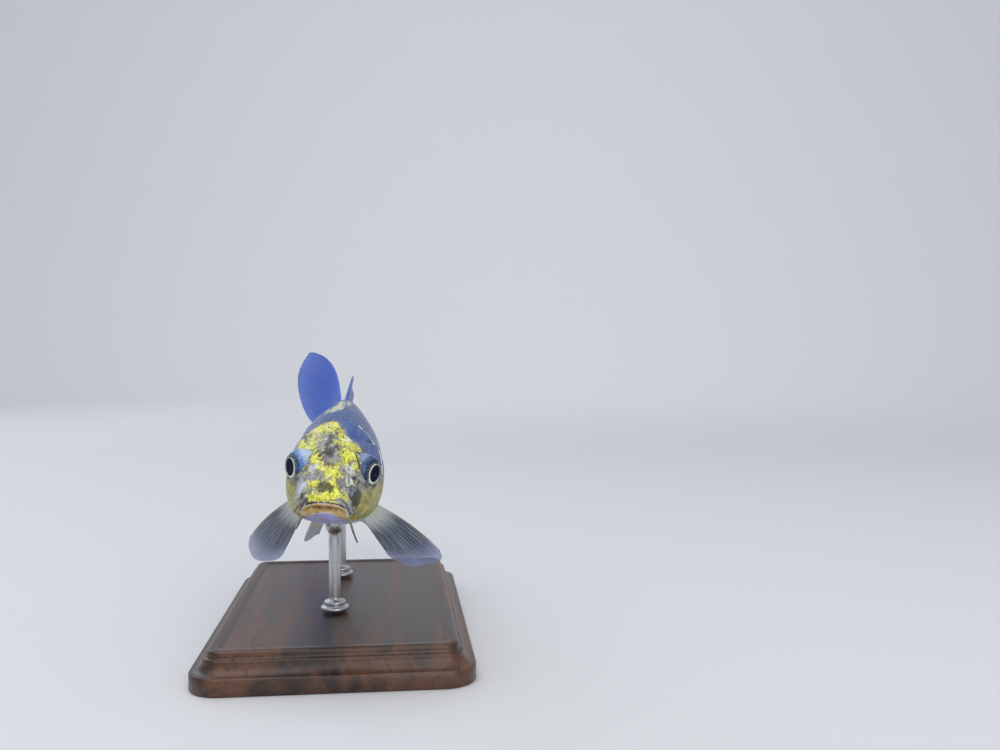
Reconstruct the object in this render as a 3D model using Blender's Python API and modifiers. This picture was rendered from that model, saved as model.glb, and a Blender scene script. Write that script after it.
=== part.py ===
"""Koi carp, life size, held by two short rods over a flat display base.

The fish is worked out straight, in shares of its standard length, and laid along a bent spine:
u runs from the snout (0) to the end of the tail stock (1), left is towards the fish's left side
and up towards its back. In the model's frame +Z is up, the fish faces -Y, +X is its left side,
and the origin is the middle of the base's underside. All sizes are in metres.
"""

import math

import bmesh
import bpy
import numpy as np
from mathutils import Matrix, Vector

# Driving sizes
STANDARD_LENGTH = 0.180  # snout to the end of the tail stock
AXIS_HEIGHT = 0.066  # of the fish's axis at the snout
SNOUT_Y = -0.088
GAP = 0.0003  # kept between solids that touch

# Attitude: the back leans to the fish's left, and the head and tail both turn to its right
ROLL = math.radians(5)
NOSE_UP, TAIL_UP = math.radians(4), math.radians(2)
# The spine's heading in degrees at u, towards the fish's right going back
HEADINGS = (
    (-0.05, -2.3),
    (0.00, -2.0),
    (0.10, -0.8),
    (0.20, 0.4),
    (0.30, 0.8),
    (0.45, 0.7),
    (0.70, 0.9),
    (0.85, 4.0),
    (1.00, 17.0),
    (1.15, 36.0),
    (1.30, 44.0),
    (1.45, 46.0),
)

# Body sections: u, back, belly, half width, height of the widest place, and the powers of the
# superellipses over and under it. Powers under 2 make a ridge, and over 2 a square shoulder.
SECTIONS = (
    (0.000, -0.030, -0.047, 0.022, -0.039, 2.00, 2.0),
    (0.012, -0.010, -0.057, 0.036, -0.039, 2.00, 2.3),
    (0.035, 0.011, -0.064, 0.049, -0.038, 1.75, 2.5),
    (0.070, 0.032, -0.072, 0.060, -0.036, 1.60, 2.7),
    (0.110, 0.050, -0.078, 0.068, -0.031, 1.68, 2.6),
    (0.170, 0.071, -0.086, 0.077, -0.022, 1.90, 2.4),
    (0.240, 0.089, -0.095, 0.081, -0.017, 2.00, 2.3),
    (0.330, 0.106, -0.107, 0.082, -0.012, 1.85, 2.2),
    (0.450, 0.117, -0.115, 0.082, -0.006, 1.45, 2.1),
    (0.580, 0.112, -0.108, 0.075, -0.002, 1.42, 2.0),
    (0.700, 0.095, -0.091, 0.060, 0.002, 1.60, 1.9),
    (0.820, 0.074, -0.070, 0.043, 0.002, 1.90, 1.9),
    (0.920, 0.061, -0.058, 0.029, 0.000, 2.00, 2.0),
    (1.000, 0.060, -0.059, 0.016, 0.000, 2.00, 2.0),
)
SECTION_SIDES = 36
SNOUT_ROUNDING = 0.010  # the first sections shrink to a blunt tip over this length

# Where the body is parted
HEAD_END = 0.285
TRUNK_SPLIT = 0.520
TAIL_STOCK_START = 0.770

# Eyes, set in bulging sockets
EYE_U, EYE_LEFT, EYE_UP = 0.105, 0.0490, 0.011
EYE_RADIUS = 0.0285
SOCKET_BULGE = 0.006
SOCKET_SPREAD = 0.034

# The mouth's plane runs from the tip of the snout down and back to its corners
MOUTH_FRONT = (0.000, -0.0405)
MOUTH_CORNER = (0.037, -0.057)
MOUTH_HALF_WIDTH = 0.0385
UPPER_LIP = 0.0085
JAW_BACK = (0.066, -0.100)

# Gill cover: a D in side view, rounder behind than in front
GILL_CENTRE = (0.196, -0.020)
GILL_REACH_BACK, GILL_REACH_FRONT, GILL_HALF_HEIGHT = 0.074, 0.050, 0.072
GILL_INNER = 0.050  # the cover's inner face, out from the middle

# Fins
FIN_THICKNESS = 0.0007
FIN_ROOT_DEPTH = 0.010  # how far a fin starts inside the body before it is trimmed
DORSAL_START, DORSAL_END = 0.465, 0.800
DORSAL_LEAN = math.radians(25)
DORSAL_SWAY = 0.0025  # its edge sways to the left in front and to the right behind
DORSAL_BELLY = 0.012  # and the whole fin bellies out to the left between
ANAL_START, ANAL_END = 0.760, 0.835
ANAL_LEAN = math.radians(52)
FIN_BOW = 0.038  # how far the paired fins' leading edges bow out and up, as a share of their length
CAUDAL_SPREAD = math.radians(33)
CAUDAL_EDGE_RAY, CAUDAL_MIDDLE_RAY, CAUDAL_ROUNDING = 0.254, 0.168, 0.060
CAUDAL_LAG = 0.055  # how far the lower lobe's edge trails to the left
CAUDAL_BOW = 0.15  # how far the edge rays bow outwards, as a share of their length
CAUDAL_ROOT_HALF = 0.054

# Stand
BASE_LENGTH, BASE_WIDTH, BASE_THICKNESS = 0.134, 0.086, 0.012
BASE_CORNER = 0.010
ROD_RADIUS = 0.0020
COLLAR_RADIUS, COLLAR_HEIGHT = 0.0048, 0.0035
ROD_PLACES = {"stand_rod_front": 0.385, "stand_rod_rear": 0.665}


def smooth_table(rows):
    """The knots of a table and the slopes of a smooth curve through each column that adds no humps."""
    table = np.array(rows)
    knots, values = table[:, 0], table[:, 1:]
    step = np.diff(knots)[:, None]
    rise = np.diff(values, axis=0) / step
    slopes = np.zeros_like(values)
    slopes[0], slopes[-1] = rise[0], rise[-1]
    before, after = 2 * step[1:] + step[:-1], step[1:] + 2 * step[:-1]
    same_way = rise[:-1] * rise[1:] > 0
    safe = np.where(same_way, rise[:-1] * rise[1:], 1)
    blend = (before + after) * safe / (before * rise[1:] + after * rise[:-1] + ~same_way)
    slopes[1:-1] = np.where(same_way, blend, 0)
    return knots, values, slopes


def read_table(table, u):
    """The columns of a smooth table at u."""
    knots, values, slopes = table
    i = int(np.clip(np.searchsorted(knots, u) - 1, 0, len(knots) - 2))
    width = knots[i + 1] - knots[i]
    t = min(max((u - knots[i]) / width, 0), 1)
    return (
        (1 + 2 * t) * (1 - t) ** 2 * values[i]
        + t * (1 - t) ** 2 * width * slopes[i]
        + t * t * (3 - 2 * t) * values[i + 1]
        - t * t * (1 - t) * width * slopes[i + 1]
    )


BODY = smooth_table(SECTIONS)


def spine_table(steps=400, reach=1.45):
    """Places of the spine and its directions, added up from its heading and its slope."""
    u = np.linspace(-0.05, reach, steps)
    turning = smooth_table(HEADINGS)
    heading = np.radians([read_table(turning, place)[0] for place in u])
    slope = (NOSE_UP + TAIL_UP) * np.clip(u, 0, 1) - NOSE_UP
    along = np.stack(
        [-np.sin(heading) * np.cos(slope), np.cos(heading) * np.cos(slope), np.sin(slope)], axis=1
    )
    path = np.zeros_like(along)
    path[1:] = np.cumsum((along[1:] + along[:-1]) / 2 * (u[1] - u[0]) * STANDARD_LENGTH, axis=0)
    path -= np.array([np.interp(0, u, path[:, k]) for k in range(3)])
    return u, path, along


SPINE = spine_table()
ROLLED = Matrix.Translation((0, SNOUT_Y, AXIS_HEIGHT)) @ Matrix.Rotation(ROLL, 4, "Y")


def spine_frame(u):
    """The 4x4 matrix at u, with its axes left, back along the spine, and up."""
    knots, path, along = SPINE
    place = Vector([np.interp(u, knots, path[:, k]) for k in range(3)])
    back = Vector([np.interp(u, knots, along[:, k]) for k in range(3)]).normalized()
    left = Vector((back.y, -back.x, 0)).normalized()
    up = left.cross(back)
    frame = Matrix((left, back, up)).transposed().to_4x4()
    return ROLLED @ Matrix.Translation(place) @ frame


def placed(u, left, up):
    """The point of the model's frame at u, left and up, all in shares of the standard length."""
    return spine_frame(u) @ Vector((left * STANDARD_LENGTH, 0, up * STANDARD_LENGTH))


def section_point(u, angle, grow=0.0):
    """Left and up of the body's surface at u. The angle is 0 at the back and a half turn at the belly."""
    back, belly, half_width, widest, back_power, belly_power = read_table(BODY, u)
    blunt = math.sqrt(min(max((u + SNOUT_ROUNDING / 4) / SNOUT_ROUNDING, 0.05), 1))
    c, s = math.cos(angle), math.sin(angle)
    power = back_power if c > 0 else belly_power
    reach = (abs(c) ** power + abs(s) ** power) ** (-1 / power)
    height = (back - widest if c > 0 else widest - belly) * blunt
    left = (half_width * blunt * reach + grow) * s
    up = widest + (height * reach + grow) * c
    away = ((u - EYE_U) ** 2 + (up - EYE_UP) ** 2) / SOCKET_SPREAD**2
    left += math.copysign(SOCKET_BULGE * math.exp(-(away**2)), s) * min(1, abs(s) * 2)
    return left, up


def material(name, colour, roughness, metallic=0.0):
    made = bpy.data.materials.new(name)
    made.use_nodes = True
    shader = made.node_tree.nodes["Principled BSDF"]
    shader.inputs["Base Color"].default_value = (*colour, 1)
    shader.inputs["Roughness"].default_value = roughness
    shader.inputs["Metallic"].default_value = metallic
    return made


def new_object(name, mesh, finish, cutter=False):
    """An object for this mesh in the fish's collection, or a hidden one in the cutters'."""
    thing = bpy.data.objects.new(name, mesh)
    if finish is not None and not mesh.materials:
        mesh.materials.append(finish)
    bpy.data.collections["cutters" if cutter else "koi_carp"].objects.link(thing)
    if cutter:
        thing.hide_render = True
        thing.display_type = "WIRE"
    return thing


def boolean(thing, cutter, operation="DIFFERENCE"):
    cut = thing.modifiers.new(f"{operation.lower()}_{cutter.name}", "BOOLEAN")
    cut.operation = operation
    cut.object = cutter


def mesh_from(name, bm):
    """A mesh from this bmesh, with its faces turned outwards and shaded smooth."""
    bmesh.ops.recalc_face_normals(bm, faces=bm.faces)
    mesh = bpy.data.meshes.new(name)
    bm.to_mesh(mesh)
    bm.free()
    mesh.shade_smooth()
    return mesh


def loft(name, stations, grow=0.0):
    """A closed loft of the body's sections at these stations, with flat ends."""
    bm = bmesh.new()
    rings = []
    for u in stations:
        angles = [2 * math.pi * k / SECTION_SIDES for k in range(SECTION_SIDES)]
        rings.append([bm.verts.new(placed(u, *section_point(u, a, grow))) for a in angles])
    for first, second in zip(rings, rings[1:]):
        for k in range(SECTION_SIDES):
            after = (k + 1) % SECTION_SIDES
            bm.faces.new((first[k], first[after], second[after], second[k]))
    bm.faces.new(rings[0])
    bm.faces.new(rings[-1])
    return mesh_from(name, bm)


def stations_between(start, end, spacing=0.022):
    """Evenly spaced stations, the last one half a gap short of the end."""
    half_gap = GAP / 2 / STANDARD_LENGTH
    count = max(2, round((end - start) / spacing) + 1)
    return np.linspace(start + half_gap, end - half_gap, count)


def head_stations():
    """Stations that crowd towards the snout, where the head curves most."""
    t = np.linspace(0, 1, 17)
    end = HEAD_END - GAP / 2 / STANDARD_LENGTH
    return end * t**1.7


def prism(name, outline, low, high):
    """A cutter in the fish's own directions: an outline of (u, up) points from low to high, left."""
    bm = bmesh.new()
    near = [bm.verts.new(placed(u, low, up)) for u, up in outline]
    far = [bm.verts.new(placed(u, high, up)) for u, up in outline]
    count = len(outline)
    for k in range(count):
        after = (k + 1) % count
        bm.faces.new((near[k], near[after], far[after], far[k]))
    bm.faces.new(near)
    bm.faces.new(far)
    return new_object(name, mesh_from(name, bm), None, cutter=True)


def gill_outline(grow=0.0):
    """The gill cover's D in side view, made larger by grow."""
    points = []
    for k in range(28):
        t = 2 * math.pi * k / 28
        reach = GILL_REACH_BACK if math.cos(t) > 0 else GILL_REACH_FRONT
        u = GILL_CENTRE[0] + (reach + grow) * math.cos(t)
        up = GILL_CENTRE[1] + (GILL_HALF_HEIGHT + grow) * math.sin(t)
        points.append((u, up))
    return points


def mouth_line(rise):
    """Two points of the mouth's plane in side view, raised: one well ahead, and one at the corner."""
    ahead = -0.06
    slope = (MOUTH_CORNER[1] - MOUTH_FRONT[1]) / (MOUTH_CORNER[0] - MOUTH_FRONT[0])
    start = MOUTH_FRONT[1] + slope * (ahead - MOUTH_FRONT[0])
    return (ahead, start + rise), (MOUTH_CORNER[0], MOUTH_CORNER[1] + rise)


def jaw_outline():
    """The lower jaw in side view: under the mouth's plane, in front of the throat."""
    return [*mouth_line(0), JAW_BACK, (JAW_BACK[0], JAW_BACK[1] - 0.03), (-0.06, JAW_BACK[1] - 0.03)]


def mouth_outline(grow):
    """The lower jaw and the upper lip together, in side view."""
    ahead, corner = mouth_line(UPPER_LIP + 2 * grow)
    return [
        ahead,
        corner,
        (MOUTH_CORNER[0] + grow, MOUTH_CORNER[1]),
        (JAW_BACK[0] + grow, JAW_BACK[1]),
        (JAW_BACK[0] + grow, JAW_BACK[1] - 0.03),
        (-0.06, JAW_BACK[1] - 0.03),
    ]


def lip_outline(grow):
    """The upper lip in side view: a band over the mouth's plane."""
    return [*mouth_line(UPPER_LIP + grow)[::-1], *mouth_line(grow)]


def ball(name, side, radius, cutter=False, finish=None):
    """An eyeball, or the round socket it sits in."""
    mesh = bpy.data.meshes.new(name)
    bm = bmesh.new()
    bmesh.ops.create_uvsphere(bm, u_segments=20, v_segments=12, radius=radius * STANDARD_LENGTH)
    turn = spine_frame(EYE_U) @ Matrix.Rotation(math.pi / 2, 4, "Y")
    bm.transform(turn.to_3x3().to_4x4())
    bm.to_mesh(mesh)
    bm.free()
    mesh.shade_smooth()
    thing = new_object(name, mesh, finish, cutter)
    thing.location = placed(EYE_U, side * EYE_LEFT, EYE_UP)
    return thing


def build_head(skin_finish, eye_finish):
    """The head, its lower jaw, gill covers and eyes, all parted from one loft."""
    whole = loft("head", head_stations())
    gap = GAP / STANDARD_LENGTH
    head = new_object("head", whole, skin_finish)
    jaw = new_object("lower_jaw", whole.copy(), skin_finish)
    lip = new_object("upper_lip", whole.copy(), skin_finish)
    wide = 0.12
    narrow = MOUTH_HALF_WIDTH
    boolean(head, prism("mouth_slot", mouth_outline(gap), -narrow - gap, narrow + gap))
    boolean(jaw, prism("jaw_block", jaw_outline(), -narrow, narrow), "INTERSECT")
    boolean(lip, prism("lip_block", lip_outline(gap), -narrow, narrow), "INTERSECT")
    for side, word in ((1, "left"), (-1, "right")):
        inner, outer = side * GILL_INNER, side * wide
        cover = new_object(f"gill_cover_{word}", whole.copy(), skin_finish)
        block = prism(f"gill_block_{word}", gill_outline(), inner, outer)
        slot = prism(f"gill_slot_{word}", gill_outline(gap), inner - side * gap, outer)
        boolean(cover, block, "INTERSECT")
        boolean(head, slot)
        ball(f"eye_{word}", side, EYE_RADIUS, finish=eye_finish)
        boolean(head, ball(f"socket_{word}", side, EYE_RADIUS + gap, cutter=True))


def build_trunk(finish):
    """The trunk in two lengths, and the tail stock."""
    parts = {
        "trunk_front": (HEAD_END, TRUNK_SPLIT),
        "trunk_rear": (TRUNK_SPLIT, TAIL_STOCK_START),
        "tail_stock": (TAIL_STOCK_START, 1.0),
    }
    for name, (start, end) in parts.items():
        new_object(name, loft(name, stations_between(start, end)), finish)


def build_fin(name, point, rays, steps, finish, body_cutter):
    """A thin fin. point(across, along) is a place on its middle surface, each from 0 to 1."""
    bm = bmesh.new()
    grid = [
        [bm.verts.new(point(i / (rays - 1), k / (steps - 1))) for k in range(steps)]
        for i in range(rays)
    ]
    for first, second in zip(grid, grid[1:]):
        for k in range(steps - 1):
            bm.faces.new((first[k], first[k + 1], second[k + 1], second[k]))
    fin = new_object(name, mesh_from(name, bm), finish)
    wall = fin.modifiers.new("thickness", "SOLIDIFY")
    wall.thickness = FIN_THICKNESS
    wall.offset = 0
    boolean(fin, body_cutter)
    return fin


def dorsal_point(across, along):
    """The dorsal fin, half folded: tall in front, hollow behind the first rays, low at its end."""
    u = DORSAL_START + (DORSAL_END - DORSAL_START) * across
    height = 0.060 + 0.080 * math.exp(-((across / 0.30) ** 1.4)) - 0.014 * across
    height *= 1 - 0.10 * max(1 - across / 0.08, 0) ** 2
    root = read_table(BODY, u)[0] - FIN_ROOT_DEPTH * 2
    reach = (height + FIN_ROOT_DEPTH * 2) * along
    sway = DORSAL_SWAY * along**2 * math.cos(math.pi * across)
    sway += DORSAL_BELLY * math.exp(-(((across - 0.5) / 0.25) ** 2)) * along * (1.6 - 0.72 * along)
    return placed(u + reach * math.cos(DORSAL_LEAN), sway, root + reach * math.sin(DORSAL_LEAN))


def anal_point(across, along):
    """The anal fin, folded half back."""
    u = ANAL_START + (ANAL_END - ANAL_START) * across
    height = 0.112 + 0.030 * across - 0.092 * across**2
    height *= 1 - 0.10 * max(1 - across / 0.15, 0) ** 2
    root = read_table(BODY, u)[1] + FIN_ROOT_DEPTH
    reach = (height + FIN_ROOT_DEPTH) * along
    return placed(u + reach * math.cos(ANAL_LEAN), 0, root - reach * math.sin(ANAL_LEAN))


def caudal_point(side):
    """One lobe of the tail fin: rays fan out from the tail stock, longest at the lobe's edge."""

    def point(across, along):
        spread = CAUDAL_SPREAD * across
        ray = CAUDAL_EDGE_RAY - (CAUDAL_EDGE_RAY - CAUDAL_MIDDLE_RAY) * (1 - across) ** 4
        ray += CAUDAL_ROUNDING * across * (1 - across)
        ray *= 1 - 0.07 * max(1 - (1 - across) / 0.12, 0) ** 2
        bow = 4 * CAUDAL_BOW * ray * across**2 * along * (1 - along)
        u = 1 - 0.004 + ray * math.cos(spread) * along - bow * math.sin(spread)
        up = CAUDAL_ROOT_HALF * across + ray * math.sin(spread) * along + bow * math.cos(spread)
        lag = CAUDAL_LAG * along**2 * across * (2 - across) if side < 0 else 0
        return placed(u, lag, side * (up + GAP / STANDARD_LENGTH))

    return point


def paired_point(side, root, root_run, lead, trail, lengths):
    """A paired fin that fans between two directions, given as back, left and up."""
    lead, trail = Vector(lead).normalized(), Vector(trail).normalized()
    start, run = Vector(root), Vector(root_run)

    def point(across, along):
        way = lead.lerp(trail, across).normalized()
        first, middle, last = lengths
        ray = first * (1 - across) ** 2 + 2 * middle * across * (1 - across) + last * across**2
        ray *= 1 - 0.09 * max(1 - across / 0.18, 0) ** 2
        place = start + run * across + way * ((ray + FIN_ROOT_DEPTH) * along - FIN_ROOT_DEPTH)
        place += Vector((0, 0.6, 0.8)) * FIN_BOW * ray * 4 * along * (1 - along) * (1 - across)
        return placed(place.x, side * place.y, place.z)

    return point


PECTORAL_ROOT, PECTORAL_RUN = (0.257, 0.066, -0.056), (0.000, -0.010, -0.034)
PECTORAL_LENGTHS = (0.225, 0.220, 0.105)
PECTORAL_WAYS = {
    "left": ((0.591, 0.658, -0.467), (0.553, 0.492, -0.672)),
    "right": ((0.738, 0.456, -0.498), (0.615, 0.262, -0.743)),
}
PELVIC_ROOT, PELVIC_RUN = (0.488, 0.031, -0.104), (0.024, -0.014, -0.003)
PELVIC_LENGTHS = (0.146, 0.139, 0.132)
PELVIC_WAYS = {
    "left": ((0.880, 0.260, -0.360), (0.920, 0.100, -0.260)),
    "right": ((0.731, 0.251, -0.635), (0.823, 0.151, -0.547)),
}


def build_fins(finish, body_cutter):
    build_fin("dorsal_fin", dorsal_point, 15, 5, finish, body_cutter)
    build_fin("anal_fin", anal_point, 7, 5, finish, body_cutter)
    build_fin("caudal_fin_upper", caudal_point(1), 10, 8, finish, body_cutter)
    build_fin("caudal_fin_lower", caudal_point(-1), 10, 8, finish, body_cutter)
    for side, word in ((1, "left"), (-1, "right")):
        pectoral = paired_point(
            side, PECTORAL_ROOT, PECTORAL_RUN, *PECTORAL_WAYS[word], PECTORAL_LENGTHS
        )
        build_fin(f"pectoral_fin_{word}", pectoral, 11, 6, finish, body_cutter)
        pelvic = paired_point(side, PELVIC_ROOT, PELVIC_RUN, *PELVIC_WAYS[word], PELVIC_LENGTHS)
        build_fin(f"pelvic_fin_{word}", pelvic, 8, 5, finish, body_cutter)


# Barbels: the radius at the root in metres, then root, middle and tip as u, left and up
BARBELS = {
    "barbel_long_left": (
        0.00050, (0.037, 0.035, -0.058), (0.049, 0.040, -0.078), (0.078, 0.050, -0.101)
    ),
    "barbel_long_right": (
        0.00050, (0.037, -0.035, -0.058), (0.054, -0.040, -0.073), (0.090, -0.049, -0.088)
    ),
    "barbel_short_left": (
        0.00040, (0.018, 0.031, -0.033), (0.011, 0.043, -0.040), (0.022, 0.047, -0.059)
    ),
    "barbel_short_right": (
        0.00040, (0.018, -0.031, -0.033), (0.011, -0.043, -0.040), (0.024, -0.047, -0.058)
    ),
}


def build_barbels(finish, body_cutter):
    """Two pairs of barbels: long ones at the corners of the mouth and short ones on the upper lip."""
    for name, (radius, root, middle, tip) in BARBELS.items():
        curve = bpy.data.curves.new(name, "CURVE")
        curve.dimensions = "3D"
        curve.bevel_depth = radius
        curve.bevel_resolution = 2
        curve.use_fill_caps = True
        spline = curve.splines.new("POLY")
        spline.points.add(6)
        for k, knot in enumerate(spline.points):
            t = k / 6
            u, left, up = (
                (1 - t) ** 2 * a + 2 * t * (1 - t) * b + t * t * c
                for a, b, c in zip(root, middle, tip)
            )
            knot.co = (*placed(u, left, up), 1)
            knot.radius = 1 - 0.5 * t
        new_object(name, mesh_of_curve(curve, body_cutter), finish)


def mesh_of_curve(curve, body_cutter):
    """A curve's tube as a mesh, its caps welded on and its root trimmed to the body's skin."""
    tube = bpy.data.objects.new(curve.name, curve)
    bpy.data.collections["cutters"].objects.link(tube)
    bpy.context.view_layer.update()
    graph = bpy.context.evaluated_depsgraph_get()
    mesh = bpy.data.meshes.new_from_object(tube.evaluated_get(graph))
    bpy.data.objects.remove(tube)
    bm = bmesh.new()
    bm.from_mesh(mesh)
    bmesh.ops.remove_doubles(bm, verts=bm.verts, dist=0.00001)
    bm.to_mesh(mesh)
    bm.free()
    solid = bpy.data.objects.new(mesh.name, mesh)
    bpy.data.collections["cutters"].objects.link(solid)
    boolean(solid, body_cutter)
    bpy.context.view_layer.update()
    graph = bpy.context.evaluated_depsgraph_get()
    trimmed = bpy.data.meshes.new_from_object(solid.evaluated_get(graph))
    bpy.data.objects.remove(solid)
    trimmed.materials.clear()
    trimmed.shade_smooth()
    return trimmed


def build_stand(wood, metal, body_cutter):
    """The base, and two turned rods with collars, whose tops are trimmed to the belly."""
    bm = bmesh.new()
    bmesh.ops.create_cube(bm, size=1)
    bm.transform(Matrix.Diagonal((BASE_WIDTH, BASE_LENGTH, BASE_THICKNESS, 1)))
    upright = [e for e in bm.edges if abs(e.verts[0].co.z - e.verts[1].co.z) > 0.001]
    bmesh.ops.bevel(bm, geom=upright, offset=BASE_CORNER, segments=6, affect="EDGES", profile=0.5)
    base = new_object("stand_base", mesh_from("stand_base", bm), wood)
    base.location.z = BASE_THICKNESS / 2
    edge = base.modifiers.new("edge", "BEVEL")
    edge.width = 0.0012
    edge.segments = 2
    edge.angle_limit = math.radians(50)
    for name, u in ROD_PLACES.items():
        foot = placed(u, 0, read_table(BODY, u)[1])
        top = foot.z - BASE_THICKNESS + 0.006
        profile = (
            (0, top),
            (ROD_RADIUS, top),
            (ROD_RADIUS, COLLAR_HEIGHT),
            (COLLAR_RADIUS * 0.8, COLLAR_HEIGHT * 0.8),
            (COLLAR_RADIUS, COLLAR_HEIGHT * 0.4),
            (COLLAR_RADIUS, 0),
            (0, 0),
        )
        mesh = bpy.data.meshes.new(name)
        mesh.from_pydata([(x, 0, z) for x, z in profile], [(k, k + 1) for k in range(6)], [])
        rod = new_object(name, mesh, metal)
        rod.location = (foot.x, foot.y, BASE_THICKNESS + GAP)
        turned = rod.modifiers.new("turned", "SCREW")
        turned.steps = turned.render_steps = 20
        turned.use_merge_vertices = True
        turned.merge_threshold = 0.00002
        turned.use_normal_calculate = True
        boolean(rod, body_cutter)


def main():
    for thing in list(bpy.data.objects):
        bpy.data.objects.remove(thing)
    for name in ("koi_carp", "cutters"):
        made = bpy.data.collections.new(name)
        bpy.context.scene.collection.children.link(made)
    yellow = material("mottled_yellow", (0.62, 0.50, 0.10), 0.35)
    slate = material("slate_scales", (0.16, 0.17, 0.24), 0.35)
    membrane = material("fin_membrane", (0.58, 0.60, 0.74), 0.40)
    glassy = material("eye", (0.02, 0.02, 0.03), 0.08)
    wood = material("dark_wood", (0.10, 0.05, 0.03), 0.40)
    metal = material("brushed_metal", (0.60, 0.60, 0.60), 0.30, 1.0)
    around = loft("body_cutter", [*head_stations(), *stations_between(0.30, 1.0)], GAP / STANDARD_LENGTH)
    body_cutter = new_object("body_cutter", around, None, cutter=True)
    build_head(yellow, glassy)
    build_trunk(slate)
    build_fins(membrane, body_cutter)
    build_barbels(yellow, body_cutter)
    build_stand(wood, metal, body_cutter)


main()
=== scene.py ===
"""Koi carp, life size, on a display stand: the finished look of every surface.

The fish is worked out straight, in shares of its standard length, and laid along a bent spine:
u runs from the snout (0) to the end of the tail stock (1), left is towards the fish's left side
and up towards its back. In the model's frame +Z is up, the fish faces -Y and +X is its left side.
Sizes named "share" or with no unit are shares of the standard length; the others are in metres.
Arrays of places, points and vectors have their three numbers in the last axis.
"""

import logging
import math
from collections.abc import Sequence
from dataclasses import dataclass
from enum import Enum

import bpy
import numpy as np
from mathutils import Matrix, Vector


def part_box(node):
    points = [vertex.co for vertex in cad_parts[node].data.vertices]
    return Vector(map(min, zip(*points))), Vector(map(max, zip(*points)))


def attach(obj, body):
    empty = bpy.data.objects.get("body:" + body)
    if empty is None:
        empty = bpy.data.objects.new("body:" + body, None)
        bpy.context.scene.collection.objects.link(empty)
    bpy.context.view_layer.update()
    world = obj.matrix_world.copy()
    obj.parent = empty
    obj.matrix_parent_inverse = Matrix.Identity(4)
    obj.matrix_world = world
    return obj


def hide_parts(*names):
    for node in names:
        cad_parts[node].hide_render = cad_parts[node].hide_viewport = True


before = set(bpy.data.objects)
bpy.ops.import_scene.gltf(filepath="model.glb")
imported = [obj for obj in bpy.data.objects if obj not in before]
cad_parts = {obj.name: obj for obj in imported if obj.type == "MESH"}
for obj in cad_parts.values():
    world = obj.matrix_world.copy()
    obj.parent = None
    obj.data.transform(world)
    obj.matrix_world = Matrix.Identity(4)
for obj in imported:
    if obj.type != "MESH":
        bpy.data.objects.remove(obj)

Array = np.ndarray
Point = tuple[float, float, float]
Colour = Point  # red, green and blue, from 0 to 255
Piece = bpy.types.Object
Material = bpy.types.Material
Socket = bpy.types.NodeSocket
Rows = Sequence[Sequence[float]]
Pair = tuple[float, float]

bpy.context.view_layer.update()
LOG = logging.getLogger("koi_carp")

STANDARD_LENGTH = 0.18  # snout to the end of the tail stock
FULL_TURN = 2 * math.pi


class Side(Enum):
    """A side of the fish, with its sign along the left axis."""

    LEFT = 1
    RIGHT = -1

    @property
    def word(self) -> str:
        """The side's name in small letters, as the part's nodes spell it."""
        return self.name.lower()


class Surface(Enum):
    """The record's material slots, which say what a piece takes its finish from."""

    HEAD = "head_skin"
    SCALES = "scales"
    EYE = "eye"
    BARBEL = "barbel"
    FIN = "fin"
    WOOD = "stand_wood"
    METAL = "stand_metal"


# -- Numbers and curves


def linear(colour: Colour) -> Array:
    """A colour of 0 to 255 in linear light: ((c / 255 + 0.055) / 1.055)^2.4, or c / 3294.6 when dark."""
    share = np.array(colour) / 255
    return np.where(share > 0.04045, ((share + 0.055) / 1.055) ** 2.4, share / 12.92)


def smooth(low: float, high: float, value: Array) -> Array:
    """A smooth step from 0 at low to 1 at high, either one the larger: t squared times (3 - 2t)."""
    t = np.clip((value - low) / (high - low), 0, 1)
    return t * t * (3 - 2 * t)


def hump(value: Array, middle: float, width: float) -> Array:
    """A bell, 1 at the middle: e to the power of minus ((value - middle) / width) squared."""
    return np.exp(-(((value - middle) / width) ** 2))


def bells(value: Array, rows: Sequence[Point]) -> Array:
    """The sum of bells over value, each given as its height, its middle and its width."""
    return sum(height * hump(value, middle, width) for height, middle, width in rows)


def mirrored(places: Array) -> Array:
    """Places of u, left and up with those of the right side moved to the left side."""
    return places * [1, 0, 1] + np.abs(places) * [0, 1, 0]


def unit(vectors: Array) -> Array:
    """Vectors divided by their lengths."""
    return vectors / np.linalg.norm(vectors, axis=-1, keepdims=True)


def beside(*parts: Array | float) -> Array:
    """Arrays stretched to one shape and put side by side in a new last axis."""
    return np.stack(np.broadcast_arrays(*parts), axis=-1)


def split(places: Array) -> Array:
    """The numbers in the last axis as one array each."""
    return np.moveaxis(places, -1, 0)


def once_round(count: int) -> Array:
    """Angles spaced evenly once round, without the last, which is the first again."""
    return np.linspace(0, FULL_TURN, count, endpoint=False)


def curve_through(start: Point, middle: Point, end: Point, t: Array) -> Array:
    """A quadratic curve as t goes from 0 to 1: (1-t)^2 start + 2t(1-t) middle + t^2 end."""
    share = t[..., None]
    return (1 - share) ** 2 * start + 2 * share * (1 - share) * middle + share**2 * end


def line_distance(points: Array, knots: Rows) -> Array:
    """How far points are from a chain of straight stretches: the least distance to any of them.

    Args:
        points: The points.
        knots: The corners of the chain.

    Returns:
        The distances.
    """
    corners = np.array(knots, float)
    nearest = np.full(points.shape[:-1], np.inf)
    for start, end in zip(corners, corners[1:]):
        way = end - start
        t = np.clip(((points - start) @ way) / (way @ way), 0, 1)
        nearest = np.minimum(nearest, np.linalg.norm(points - start - t[..., None] * way, axis=-1))
    return nearest


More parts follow.
